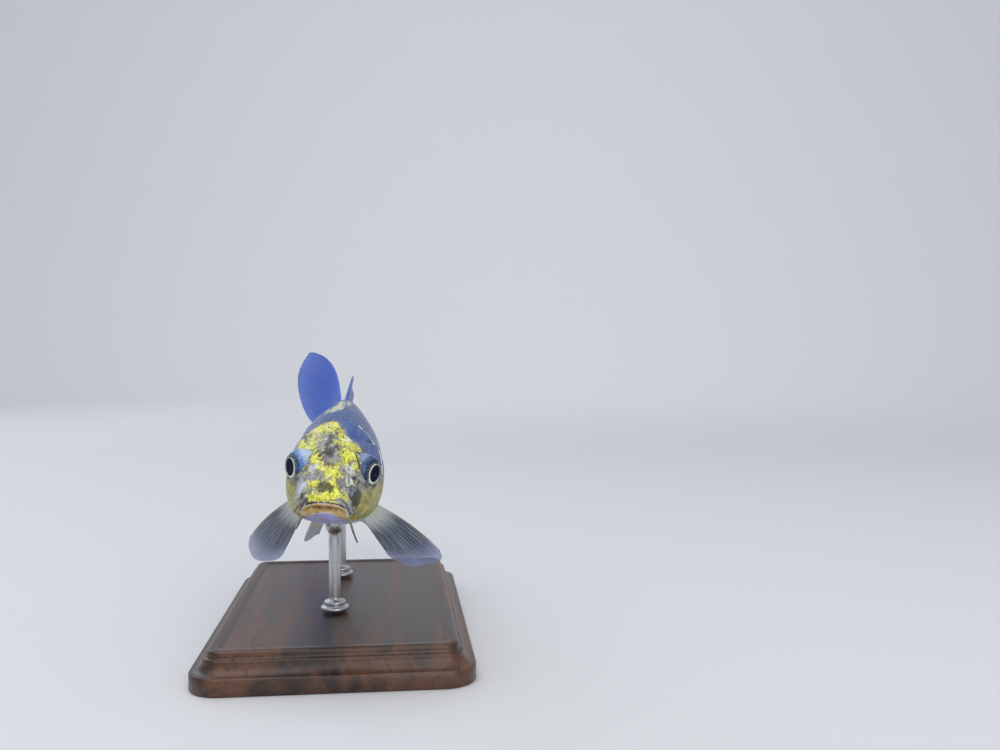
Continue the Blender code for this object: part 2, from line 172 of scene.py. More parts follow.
class SmoothTable:
    """Columns of numbers against a place, joined by smooth curves that add no humps."""

    def __init__(self, rows: Rows) -> None:
        """Works out the slopes: the weighted harmonic mean of the rises before and after a row.

        Args:
            rows: A place and the numbers at it, in rows of growing place.
        """
        table = np.array(rows, float)
        self.knots, self.values = table[:, 0], table[:, 1:]
        step = np.diff(self.knots)[:, None]
        rise = np.diff(self.values, axis=0) / step
        before, after = 2 * step[1:] + step[:-1], step[1:] + 2 * step[:-1]
        same_way = rise[:-1] * rise[1:] > 0
        product = np.where(same_way, rise[:-1] * rise[1:], 1)
        mean = (before + after) * product / (before * rise[1:] + after * rise[:-1] + ~same_way)
        self.slopes = np.zeros_like(self.values)
        self.slopes[0], self.slopes[-1] = rise[0], rise[-1]
        self.slopes[1:-1] = np.where(same_way, mean, 0)

    def read(self, place: Array) -> list[Array]:
        """The columns at these places, by the cubic that has each row's value and slope.

        Args:
            place: The places to read at. Outside the table, its end rows hold.

        Returns:
            One array for each column.
        """
        place = np.asarray(place, float)
        i = np.clip(np.searchsorted(self.knots, place) - 1, 0, len(self.knots) - 2)
        width = self.knots[i + 1] - self.knots[i]
        t = np.clip((place - self.knots[i]) / width, 0, 1)
        start = (1 + 2 * t) * (1 - t) ** 2, t * (1 - t) ** 2 * width
        weights = (*start, t * t * (3 - 2 * t), -t * t * (1 - t) * width)
        columns = zip(self.values[i].T, self.slopes[i].T, self.values[i + 1].T, self.slopes[i + 1].T)
        return [sum(w * part.T for w, part in zip(weights, column)) for column in columns]


# -- The fish's own space


@dataclass
class Spine:
    """The bent line that the fish is laid along, and its lean."""

    snout: Point = (0.0, -0.088, 0.066)
    roll: float = math.radians(5)
    nose_up: float = math.radians(4)
    tail_up: float = math.radians(2)
    reach: Pair = (-0.05, 1.45)
    # The heading in degrees at u, towards the fish's right going back
    headings: Rows = (
        (-0.05, -2.3), (0.0, -2.0), (0.1, -0.8), (0.2, 0.4), (0.3, 0.8), (0.45, 0.7),
        (0.7, 0.9), (0.85, 4.0), (1.0, 17.0), (1.15, 36.0), (1.3, 44.0), (1.45, 46.0),
    )

    def __post_init__(self) -> None:
        """Adds the spine up from its heading and its slope, in 400 steps."""
        u = np.linspace(*self.reach, 400)
        heading = np.radians(SmoothTable(self.headings).read(u)[0])
        slope = (self.nose_up + self.tail_up) * np.clip(u, 0, 1) - self.nose_up
        level = np.cos(slope)
        along = beside(-np.sin(heading) * level, np.cos(heading) * level, np.sin(slope))
        path = np.zeros_like(along)
        path[1:] = np.cumsum((along[1:] + along[:-1]) / 2 * (u[1] - u[0]) * STANDARD_LENGTH, axis=0)
        path -= np.array([np.interp(0, u, path[:, k]) for k in range(3)])
        self.u, self.path, self.along = u, path, along

    def axes(self, u: Array) -> tuple[Array, Array, Array, Array]:
        """The spine's place and directions before the lean: left is level, and up is square to both.

        Args:
            u: Places along the fish.

        Returns:
            The place, and unit vectors left, back and up.
        """
        place, back = (
            beside(*(np.interp(u, self.u, column) for column in table.T)) for table in (self.path, self.along)
        )
        back = unit(back)
        left = unit(beside(back[..., 1], -back[..., 0], 0))
        return place, left, back, np.cross(left, back)

    def lean(self, vectors: Array) -> Array:
        """Turns vectors about the Y axis by the roll.

        Args:
            vectors: Vectors.

        Returns:
            The turned vectors.
        """
        c, s = math.cos(self.roll), math.sin(self.roll)
        x, y, z = split(vectors)
        return beside(c * x + s * z, y, c * z - s * x)

    def lay(self, places: Array) -> Array:
        """Points of the model's frame: the spine's place plus left and up along its own axes.

        Args:
            places: u, left and up.

        Returns:
            Points in metres.
        """
        place, left_way, _, up_way = self.axes(places[..., 0])
        place = place + (places[..., 1:2] * left_way + places[..., 2:] * up_way) * STANDARD_LENGTH
        return self.lean(place) + np.array(self.snout)

    def turn(self, u: float, direction: Point) -> Array:
        """A direction given as left, back and up at u, as a unit vector of the model's frame."""
        _, left, back, up = self.axes(np.array(u))
        return unit(self.lean(direction[0] * left + direction[1] * back + direction[2] * up))


@dataclass
class BodyForm:
    """The outline of the body: sections along u, each an upper and a lower superellipse."""

    spine: Spine
    # u, back, belly, half width, widest height, back power, belly power
    sections: Rows = (
        (0.0, -0.03, -0.047, 0.022, -0.039, 2.0, 2.0),
        (0.012, -0.01, -0.057, 0.036, -0.039, 2.0, 2.3),
        (0.035, 0.011, -0.064, 0.049, -0.038, 1.75, 2.5),
        (0.07, 0.032, -0.072, 0.06, -0.036, 1.6, 2.7),
        (0.11, 0.05, -0.078, 0.068, -0.031, 1.68, 2.6),
        (0.17, 0.071, -0.086, 0.077, -0.022, 1.9, 2.4),
        (0.24, 0.089, -0.095, 0.081, -0.017, 2.0, 2.3),
        (0.33, 0.106, -0.107, 0.082, -0.012, 1.85, 2.2),
        (0.45, 0.117, -0.115, 0.082, -0.006, 1.45, 2.1),
        (0.58, 0.112, -0.108, 0.075, -0.002, 1.42, 2.0),
        (0.7, 0.095, -0.091, 0.06, 0.002, 1.6, 1.9),
        (0.82, 0.074, -0.07, 0.043, 0.002, 1.9, 1.9),
        (0.92, 0.061, -0.058, 0.029, 0.0, 2.0, 2.0),
        (1.0, 0.06, -0.059, 0.016, 0.0, 2.0, 2.0),
    )
    snout_rounding: float = 0.01
    eye: Point = (0.105, 0.049, 0.011)  # u, left and up of the left eye's middle
    eye_radius: float = 0.0285
    socket_bulge: float = 0.006
    socket_spread: float = 0.034

    def __post_init__(self) -> None:
        """Makes the table of sections, and the table that spaces points evenly round each one."""
        self.table = SmoothTable(self.sections)
        self.girth_u = np.linspace(0.15, 1.0, 90)
        angle = np.linspace(0, math.pi, 361)
        left, up = self.section(self.girth_u[:, None], angle[None, :])
        steps = np.hypot(np.diff(left, axis=1), np.diff(up, axis=1))
        arc = np.concatenate([np.zeros((len(steps), 1)), np.cumsum(steps, axis=1)], axis=1)
        self.half_girth = arc[:, -1]
        self.girth_share = np.linspace(0, 1, 181)
        even = [np.interp(self.girth_share, row / row[-1], angle) for row in arc]
        self.girth_angle = np.array(even)

    def section(self, u: Array, angle: Array) -> tuple[Array, Array]:
        """Left and up of the body's surface.

        The point is (half width, height) times (|cos|^p + |sin|^p)^(-1/p) in the direction of the
        angle, out from the widest place. It shrinks with the root of (u + a quarter of the
        rounding) / rounding at the snout, and bulges by a bell round each eye.

        Args:
            u: Places along the fish.
            angle: 0 at the back, a quarter turn at the left and a half turn at the belly.

        Returns:
            Left and up.
        """
        back, belly, half_width, widest, back_power, belly_power = self.table.read(u)
        rounding = (np.asarray(u) + self.snout_rounding / 4) / self.snout_rounding
        blunt = np.sqrt(np.clip(rounding, 0, 1))
        c, s = np.cos(angle), np.sin(angle)
        power = np.where(c > 0, back_power, belly_power)
        reach = (np.abs(c) ** power + np.abs(s) ** power) ** (-1 / power)
        height = np.where(c > 0, back - widest, widest - belly) * blunt
        left = half_width * blunt * reach * s
        up = widest + height * reach * c
        away = ((u - self.eye[0]) ** 2 + (up - self.eye[2]) ** 2) / self.socket_spread**2
        bulge = self.socket_bulge * np.exp(-(away**2)) * np.minimum(1, np.abs(s) * 2)
        return left + np.copysign(bulge, s), up

    def angle_at(self, u: Array, share: Array) -> Array:
        """The angle at a share of the way round, by arc length, from the back over the left side.

        Args:
            u: Places along the fish.
            share: 0 and 1 at the back, 0.25 at the left, 0.5 at the belly and 0.75 at the right.

        Returns:
            The angles, mixed from the four nearest in the table.
        """
        share = np.mod(share, 1)
        half = np.where(share > 0.5, 1 - share, share) * 2
        row = np.interp(u, self.girth_u, np.arange(len(self.girth_u)))
        column = half * (len(self.girth_share) - 1)
        i = np.clip(row.astype(int), 0, len(self.girth_u) - 2)
        k = np.clip(column.astype(int), 0, len(self.girth_share) - 2)
        s, t = row - i, column - k
        near = self.girth_angle[i, k] * (1 - t) + self.girth_angle[i, k + 1] * t
        far = self.girth_angle[i + 1, k] * (1 - t) + self.girth_angle[i + 1, k + 1] * t
        angle = near * (1 - s) + far * s
        return np.where(share > 0.5, FULL_TURN - angle, angle)

    def height_share(self, u: Array, up: Array) -> Array:
        """How high a place is between the belly, 0, and the back, 1."""
        back, belly = self.table.read(u)[:2]
        return (up - belly) / np.maximum(back - belly, 0.01)

    def point(self, u: Array, angle: Array) -> Array:
        """Points of the surface in the model's frame."""
        return self.spine.lay(beside(u, *self.section(u, angle)))

    def normal(self, u: Array, angle: Array) -> Array:
        """Outward unit normals: the cross of the step round the section and the step back.

        Args:
            u: Places along the fish.
            angle: Angles round the section.

        Returns:
            Unit vectors.
        """
        here = self.point(u, angle)
        round_step = self.point(u, angle + 0.004) - here
        back_step = self.point(u + 0.0006, angle) - here
        return unit(np.cross(round_step, back_step))


@dataclass
class GillCover:
    """The D-shaped gill cover in side view, and where the scales start behind it."""

    middle: Pair = (0.196, -0.02)
    reach_back: float = 0.074
    reach_front: float = 0.05
    half_height: float = 0.072
    edge_fade: Pair = (1.02, 1.16)  # where scales start past its edge, as its radius
    scales_start: Pair = (0.22, 0.244)

    def radius(self, u: Array, up: Array) -> Array:
        """1 on the cover's edge: the root of ((u - middle) / reach)^2 + ((up - middle) / half height)^2."""
        reach = np.where(u > self.middle[0], self.reach_back, self.reach_front)
        return np.hypot((u - self.middle[0]) / reach, (up - self.middle[1]) / self.half_height)

    def behind(self, u: Array, up: Array) -> Array:
        """How fully scales cover a place: 0 on the head and the cover, rising to 1 behind them."""
        past_edge = smooth(*self.edge_fade, self.radius(u, up))
        return past_edge * smooth(*self.scales_start, u)


# -- Meshes


def sheet_faces(rows: int, columns: int, wrap: bool = False, start: int = 0) -> Array:
    """The four-sided faces of a grid of points, turned from columns towards rows.

    Args:
        rows: How many rows of points.
        columns: How many points in a row.
        wrap: Whether the last column joins the first.
        start: The number of the grid's first point.

    Returns:
        Faces as rows of four point numbers.
    """
    i = np.arange(rows - 1)[:, None]
    k = np.arange(columns if wrap else columns - 1)[None, :]
    after = (k + 1) % columns
    corners = [i * columns + k, i * columns + after, (i + 1) * columns + after, (i + 1) * columns + k]
    return np.stack(corners, axis=-1).reshape(-1, 4) + start


def fan_faces(pole: int, ring: Array, flip: bool = False) -> Array:
    """The triangles that close a ring of points, given by number and in order, on a pole."""
    after = np.roll(ring, -1)
    return beside(pole, after, ring) if flip else beside(pole, ring, after)


def make_piece(name: str, points: Array, faces: Sequence[Array]) -> Piece:
    """A smooth-shaded object at the origin from points and faces.

    Args:
        name: The piece's name.
        points: The points in metres.
        faces: Arrays of faces, each with its own number of corners.

    Returns:
        The new piece.
    """
    mesh = bpy.data.meshes.new(name)
    flat = np.ascontiguousarray(points.reshape(-1, 3), dtype=np.float32)
    mesh.vertices.add(len(flat))
    mesh.vertices.foreach_set("co", flat.ravel())
    corners = np.concatenate([group.ravel() for group in faces]).astype(np.int32)
    counts = np.concatenate([np.full(len(group), group.shape[1]) for group in faces])
    starts = np.concatenate([[0], np.cumsum(counts)[:-1]]).astype(np.int32)
    mesh.loops.add(len(corners))
    mesh.loops.foreach_set("vertex_index", corners)
    mesh.polygons.add(len(counts))
    mesh.polygons.foreach_set("loop_start", starts)
    mesh.update(calc_edges=True)
    mesh.shade_smooth()
    piece = bpy.data.objects.new(name, mesh)
    bpy.context.scene.collection.objects.link(piece)
    return piece


def closed_piece(name: str, rings: Array, poles: Sequence[Array], flip: bool = False) -> Piece:
    """A piece from rings of points that are closed on two poles.

    Args:
        name: The piece's name.
        rings: The points of each ring.
        poles: The points that the first and the last ring close on.
        flip: Whether to turn the faces the other way.

    Returns:
        The new object.
    """
    rows, columns = rings.shape[:2]
    count = rows * columns
    ring = np.arange(columns)
    sides = sheet_faces(rows, columns, wrap=True)
    ends = fan_faces(count, ring, flip=not flip), fan_faces(count + 1, ring + count - columns, flip=flip)
    points = np.concatenate([rings.reshape(-1, 3), poles])
    return make_piece(name, points, [sides[:, ::-1] if flip else sides, *ends])


def store(piece: Piece, name: str, columns: Sequence[Array]) -> None:
    """Keeps three numbers for each point, one from each column, for the piece's material to read."""
    attribute = piece.data.attributes.new(name, "FLOAT_VECTOR", "POINT")
    attribute.data.foreach_set("vector", beside(*map(np.ravel, columns)).astype(np.float32).ravel())


def fit_piece(piece: Piece, material: Material, nodes: Sequence[str] = ()) -> Piece:
    """Dresses a piece, hangs it on the part's body and hides the nodes that it stands for.

    Args:
        piece: The piece.
        material: Its material.
        nodes: The part's nodes that it replaces.

    Returns:
        The same piece.
    """
    piece.data.materials.clear()
    piece.data.materials.append(material)
    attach(piece, "root")
    if nodes:
        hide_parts(*nodes)
    LOG.info("%s: %d faces", piece.name, len(piece.data.polygons))
    return piece


# -- Materials


LENGTHWISE = (1.0, 0.5, 1.0)  # a stretch for noise: clouds twice as long along the body


class Nodes:
    """A hand for wiring the nodes of one material."""

    def __init__(self, name: str) -> None:
        """Starts a material with only its output and principled shader.

        Args:
            name: The material's name.
        """
        self.material = bpy.data.materials.new(name)
        self.material.use_nodes = True
        self.tree = self.material.node_tree
        self.shader = self.tree.nodes["Principled BSDF"]
        self.place = self.tree.nodes.new("ShaderNodeTexCoord").outputs["Object"]

    def add(self, kind: str, settings: dict | None = None, **inputs) -> bpy.types.Node:
        """A node with its settings, and its inputs wired or filled in.

        Args:
            kind: The node's type without the leading ShaderNode.
            settings: Attributes to set on it.
            **inputs: Sockets by name, spaces written as underscores.

        Returns:
            The node.
        """
        node = self.tree.nodes.new("ShaderNode" + kind)
        for key, value in (settings or {}).items():
            setattr(node, key, value)
        for key, value in inputs.items():
            self.feed(node.inputs[key.replace("_", " ")], value)
        return node

    def feed(self, socket: Socket, value: object) -> None:
        """Wires a socket to another, or gives it a number or a colour.

        Args:
            socket: The input to fill.
            value: An output socket, a number, or a colour of 0 to 255.
        """
        if isinstance(value, Socket):
            self.tree.links.new(value, socket)
        elif isinstance(value, tuple) and socket.type == "RGBA":
            socket.default_value = (*linear(value), 1)
        else:
            socket.default_value = value

    def fill(self, node: bpy.types.Node, *inputs: object, output: int = 0) -> Socket:
        """Feeds a node's first inputs in order.

        Args:
            node: The node.
            *inputs: What each input gets. None leaves one as it is.
            output: Which output to give.

        Returns:
            That output.
        """
        for socket, value in zip(node.inputs, inputs):
            if value is not None:
                self.feed(socket, value)
        return node.outputs[output]

    def math(self, operation: str, first: object, second: object = 0.0) -> Socket:
        """The result of an operation on two numbers."""
        return self.fill(self.add("Math", {"operation": operation}), first, second)

    def times(self, first: object, second: object) -> Socket:
        """The product of two numbers."""
        return self.math("MULTIPLY", first, second)

    def rest(self, share: object) -> Socket:
        """What a share leaves of 1."""
        return self.math("SUBTRACT", 1.0, share)

    def sum(self, *terms: tuple[float, object]) -> Socket:
        """The sum of numbers, each times its own weight.

        Args:
            *terms: Pairs of a weight and a number.

        Returns:
            The sum.
        """
        total = self.times(terms[0][1], terms[0][0])
        for weight, value in terms[1:]:
            total = self.fill(self.add("Math", {"operation": "MULTIPLY_ADD"}), value, weight, total)
        return total

    def step(self, value: object, low: float, high: float) -> Socket:
        """A smooth step from 0 at low to 1 at high.

        Args:
            value: The number to read it at.
            low: Where it is 0. It may be the larger, and the step then falls.
            high: Where it is 1.

        Returns:
            The step.
        """
        ends = {"From_Min": min(low, high), "From_Max": max(low, high)}
        ends |= {"To_Min": float(low > high), "To_Max": float(low <= high)}
        node = self.add("MapRange", {"interpolation_type": "SMOOTHSTEP"}, Value=value, **ends)
        return node.outputs["Result"]

    def mix(self, share: object, first: object, second: object) -> Socket:
        """The first colour turning into the second as the share goes from 0 to 1."""
        node = self.add("Mix", {"data_type": "RGBA"})
        return self.fill(node, share, *[None] * 5, first, second, output=2)

    def over(self, colour: object, *layers: tuple[object, object]) -> Socket:
        """Lays paints over a colour in turn.

        Args:
            colour: The first colour.
            *layers: Pairs of a share and a paint.

        Returns:
            The colour.
        """
        for share, paint in layers:
            colour = self.mix(share, colour, paint)
        return colour

    def bands(self, scale: float, value: object) -> Socket:
        """Regular bands as a number grows."""
        settings = {"wave_type": "BANDS", "bands_direction": "X"}
        return self.add("TexWave", settings, Scale=scale, Vector=value).outputs["Fac"]

    def noise(
        self, scale: float, detail: float = 3.0, stretch: Point | None = None, warp: float = 0.0,
        rough: float = 0.5,
    ) -> Socket:
        """Cloudy noise in object coordinates.

        Args:
            scale: Clouds in a metre.
            detail: How many finer layers it has.
            stretch: A scale for each axis, for clouds that are longer one way.
            warp: How much it is pulled about.
            rough: How strong each finer layer is.

        Returns:
            Its value, mostly from 0.3 to 0.7.
        """
        place = self.place
        if stretch is not None:
            place = self.add("Mapping", Vector=place, Scale=stretch).outputs[0]
        shape = {"Scale": scale, "Detail": detail, "Distortion": warp, "Roughness": rough}
        return self.add("TexNoise", Vector=place, **shape).outputs[0]

    def scatter(self, scale: float, cover: object, soft: float = 0.05) -> Socket:
        """Ragged flecks: 1 in a fleck and 0 between them.

        Fine and coarse noise are added, spread to fill 0 to 1, and cut where they pass 1 - cover.

        Args:
            scale: Flecks in a metre.
            cover: The share of the surface that they cover.
            soft: How soft their edges are.

        Returns:
            The flecks.
        """
        fine = self.noise(scale, 6.0, LENGTHWISE, rough=0.68)
        coarse = self.noise(scale * 0.3, 4.0, LENGTHWISE, warp=0.7, rough=0.6)
        total = self.sum((1.6, fine), (1.7, coarse), (1.0, cover))
        return self.step(total, 2.15 - soft, 2.15 + soft)

    def read(self, name: str) -> list[Socket]:
        """The three numbers that the piece keeps under this name."""
        attribute = self.add("Attribute", {"attribute_name": name}).outputs["Vector"]
        return list(self.add("SeparateXYZ", Vector=attribute).outputs)

    def bump(self, height: object, distance: float, after: object = None) -> Socket:
        """A normal bent by relief of this height times the distance, on top of other relief if any."""
        base = {} if after is None else {"Normal": after}
        return self.add("Bump", Height=height, Distance=distance, **base).outputs[0]

    def finish(self, **inputs) -> Material:
        """Fills in the principled shader.

        Args:
            **inputs: Its sockets by name, spaces written as underscores.

        Returns:
            The finished material.
        """
        for key, value in inputs.items():
            self.feed(self.shader.inputs[key.replace("_", " ")], value)
        return self.material


@dataclass(frozen=True)
class Markings:
    """The koi's colours, shared by its skin and its scales.

    "ground" holds how slate, pale and olive a place is, and "marks" how much yellow, charcoal and cream
    lies there; cream also paints a highlight along the top of the back. Noise breaks up their edges.
    """

    grey: Colour = (164, 170, 178)
    grey_dark: Colour = (86, 84, 86)
    dun: Colour = (152, 142, 130)
    amber: Colour = (158, 148, 84)
    yellow: Colour = (252, 255, 112)
    # also the colour of the painted highlight along the top of the back
    gold: Colour = (184, 176, 40)
    cream: Colour = (240, 242, 206)
    slate: Colour = (48, 80, 152)
    slate_grey: Colour = (68, 98, 158)
    olive: Colour = (184, 172, 62)
    olive_dark: Colour = (126, 122, 74)
    silver: Colour = (200, 204, 224)
    charcoal: Colour = (48, 46, 40)

    def colour(self, nodes: Nodes) -> Socket:
        """Lays the colours over each other: grey, olive, slate, pale, then the flecks.

        Args:
            nodes: The material's nodes.

        Returns:
            The colour.
        """
        slate, pale, olive = nodes.read("ground")
        yellow, charcoal, cream = nodes.read("marks")
        middle = nodes.noise(420, 5.0, LENGTHWISE, rough=0.6)
        broad = nodes.noise(120, 3.0, LENGTHWISE)
        fine = nodes.noise(1400, 5.0, LENGTHWISE, rough=0.7)
        warm = nodes.step(nodes.noise(520, 4.0, LENGTHWISE, 0.6), 0.46, 0.62)
        cloudy = nodes.mix(nodes.step(middle, 0.38, 0.62), self.grey_dark, self.grey)
        bright = nodes.mix(nodes.step(fine, 0.36, 0.58), self.gold, self.yellow)
        return nodes.over(
            cloudy,
            (nodes.times(warm, 0.6), self.dun),
            (olive, nodes.mix(nodes.step(middle, 0.36, 0.64), self.olive_dark, self.olive)),
            (slate, nodes.mix(nodes.step(broad, 0.38, 0.62), self.slate, self.slate_grey)),
            (pale, self.silver),
            (nodes.scatter(1250, nodes.times(yellow, 1.22), 0.2), self.amber),
            (nodes.scatter(1250, yellow, 0.17), bright),
            # cream flecks, and the painted highlight along the top of the back
            (nodes.scatter(1900, cream, 0.1), self.cream),
            (nodes.times(nodes.scatter(1050, charcoal, 0.15), 0.85), self.charcoal),
        )


@dataclass(frozen=True)
class SkinFinish:
    """Wet skin over head and body, with the lips and the chin painted in, painted shade round the eyes and in
    the folds, and painted sheen on the cheeks.
    """

    markings: Markings = Markings()
    lip: Colour = (200, 184, 140)
    lip_pink: Colour = (202, 186, 186)
    lip_inner: Colour = (184, 152, 82)
    lip_dark: Colour = (60, 50, 50)
    # painted shade: the dark brown of the mouth's closed cleft under the upper lip
    mouth: Colour = (112, 70, 28)
    chin: Colour = (162, 164, 216)
    chin_grey: Colour = (156, 152, 172)
    # painted shade round the eye sockets
    socket_shade: Colour = (50, 58, 70)
    # painted sheen: a pale reflection painted on the lower cheeks and by a nostril
    painted_sheen: Colour = (200, 208, 228)
    nostril: Colour = (216, 220, 232)
    # painted shade in the nostrils' pits
    pit: Colour = (74, 68, 84)
    # painted shade in the gill slits and the cheek-fold creases
    crease: Colour = (58, 54, 52)

    def material(self) -> Material:
        """The markings, then lips, chin, nostrils, painted sheen and painted shade (round the eyes, in the
        creases, the mouth's cleft and the nostrils' pits) from "lips", "spots" and "nose".

        Returns:
            The material.
        """
        nodes = Nodes("wet_skin")
        lip, lip_edge, mouth = nodes.read("lips")
        chin, socket_shade, crease = nodes.read("spots")
        ring, pit, painted_sheen = nodes.read("nose")
        fleshy = nodes.noise(700, 5.0, rough=0.65)
        jaw = nodes.mix(nodes.step(nodes.noise(260, 3.0), 0.44, 0.6), self.chin, self.chin_grey)
        tan = nodes.mix(nodes.step(fleshy, 0.4, 0.58), self.lip_pink, self.lip)
        inner = nodes.sum((1.0, lip), (1.3, fleshy), (1.0, -0.65))
        tan = nodes.mix(nodes.step(inner, 0.66, 1.02), tan, self.lip_inner)
        cleft = nodes.times(mouth, nodes.step(fleshy, 0.35, 0.6))
        colour = nodes.over(
            self.markings.colour(nodes),
            # painted sheen on the cheeks
            (nodes.scatter(700, painted_sheen, 0.35), self.painted_sheen),
            (chin, jaw),
            (nodes.step(lip, 0.05, 0.5), tan),
            (nodes.times(lip_edge, 0.6), self.lip_pink),
            (nodes.scatter(1500, lip_edge, 0.12), self.lip_dark),
            # painted shade along the mouth's cleft
            (nodes.sum((0.55, mouth), (0.5, cleft)), self.mouth),
            # painted shade round the eye sockets
            (nodes.scatter(900, socket_shade, 0.3), self.socket_shade),
            # painted shade in the gill slits and the cheek-fold creases
            (crease, self.crease),
            (nodes.times(nodes.scatter(1400, ring, 0.3), 0.85), self.nostril),
            # painted shade in the nostrils' pits
            (pit, self.pit),
        )
        ripples = nodes.bump(nodes.noise(700, 3.0), 0.00014)
        relief = nodes.bump(nodes.noise(2600, 3.0), 0.00006, ripples)
        rough = nodes.sum((0.3, nodes.noise(500, 2.0)), (1.0, 0.24))
        return nodes.finish(
            Base_Color=colour, Roughness=rough, Normal=relief, Coat_Weight=0.06, Coat_Roughness=0.2,
            Specular_IOR_Level=0.22,
        )


@dataclass(frozen=True)
class ScaleFinish:
    """Scales with the skin's markings, each darker at its root and pale along its free edge."""

    markings: Markings = Markings()
    edge: Colour = (184, 190, 214)
    back_edge: Colour = (108, 124, 168)
    root: Colour = (42, 48, 70)
    flank: Colour = (88, 102, 132)
    pore: Colour = (40, 44, 60)

    def material(self) -> Material:
        """The markings, shaded by each scale's own place from root to free edge in "plate".

        Returns:
            The material.
        """
        nodes = Nodes("scale_plates")
        along, _, tone = nodes.read("plate")
        pore, flank, belly = nodes.read("line")
        dull = nodes.sum((0.62, flank), (0.25, tone), (1.0, -0.12))
        shade = nodes.times(nodes.step(along, 0.86, 0.45), nodes.sum((0.34, flank), (1.0, 0.28)))
        rim = nodes.times(nodes.step(along, 0.8, 0.97), nodes.sum((0.3, tone), (1.0, 0.4)))
        colour = nodes.over(
            self.markings.colour(nodes),
            (nodes.times(dull, nodes.step(belly, 0.9, 0.2)), self.flank),
            (nodes.times(shade, nodes.rest(belly)), self.root),
            (rim, nodes.mix(flank, self.back_edge, self.edge)),
            (nodes.times(pore, 0.6), self.pore),
        )
        grain = nodes.bump(nodes.noise(2400, 2.0), 0.00003)
        relief = nodes.bump(nodes.bands(5.0, along), 0.00002, grain)
        rough = nodes.sum((0.25, nodes.noise(600, 2.0)), (1.0, 0.16))
        return nodes.finish(
            Base_Color=colour, Roughness=rough, Normal=relief, Metallic=0.1, Coat_Weight=0.06,
            Coat_Roughness=0.12, Specular_IOR_Level=0.26,
        )


@dataclass(frozen=True)
class FinFinish:
    """A thin fin: colours from its root to its margin, pale rays and a see-through membrane."""

    name: str
    root: Colour
    middle: Colour
    margin: Colour
    ray: Colour
    leading: Colour
    smoke: float = 0.0  # how much charcoal lies between the rays
    ray_strength: float = 0.45
    clear: float = 0.45  # how much shows through the membrane at its margin
    smoke_colour: Colour = (44, 54, 74)
    streaks: Pair = (38.0, 2.4)  # streaks of colour across the fin and along it

    def material(self) -> Material:
        """Colours and openness by the fin's own place across, along and on its rays, from "fan".

        Returns:
            The material.
        """
        nodes = Nodes(self.name)
        across, along, ray = nodes.read("fan")
        wide, long = self.streaks
        fan = nodes.add("CombineXYZ", X=nodes.times(across, wide), Y=nodes.times(along, long)).outputs[0]
        streak = nodes.add("TexNoise", Vector=fan, Scale=1.0, Detail=5.0, Roughness=0.62).outputs[0]
        reach = nodes.sum((1.0, along), (0.55, streak), (1.0, -0.275))
        dusk = nodes.times(nodes.step(reach, 0.16, 0.44), nodes.step(reach, 1.02, 0.66))
        smoke = nodes.times(nodes.times(dusk, nodes.step(streak, 0.36, 0.52)), self.smoke)
        strength = nodes.times(nodes.step(ray, 0.25, 0.9), self.ray_strength)
        colour = nodes.over(
            nodes.mix(nodes.step(reach, 0.08, 0.42), self.root, self.middle),
            (nodes.step(reach, 0.5, 0.92), self.margin),
            (smoke, self.smoke_colour),
            (strength, self.ray),
            (nodes.times(nodes.step(across, 0.034, 0.006), 0.85), self.leading),
        )
        thin = nodes.times(nodes.step(reach, 0.2, 1.1), self.clear)
        thin = nodes.times(thin, nodes.rest(strength))
        thin = nodes.times(thin, nodes.rest(nodes.times(smoke, 0.7)))
        relief = nodes.bump(nodes.times(nodes.bands(14.0, along), ray), 0.00004)
        relief = nodes.bump(nodes.noise(1400, 3.0), 0.00004, relief)
        return nodes.finish(
            Base_Color=colour, Roughness=0.34, Normal=relief, Alpha=nodes.rest(thin),
            Subsurface_Weight=0.6, Subsurface_Radius=(1.0, 1.0, 1.0), Subsurface_Scale=0.0014,
            Coat_Weight=0.08, Coat_Roughness=0.15, Specular_IOR_Level=0.32,
        )


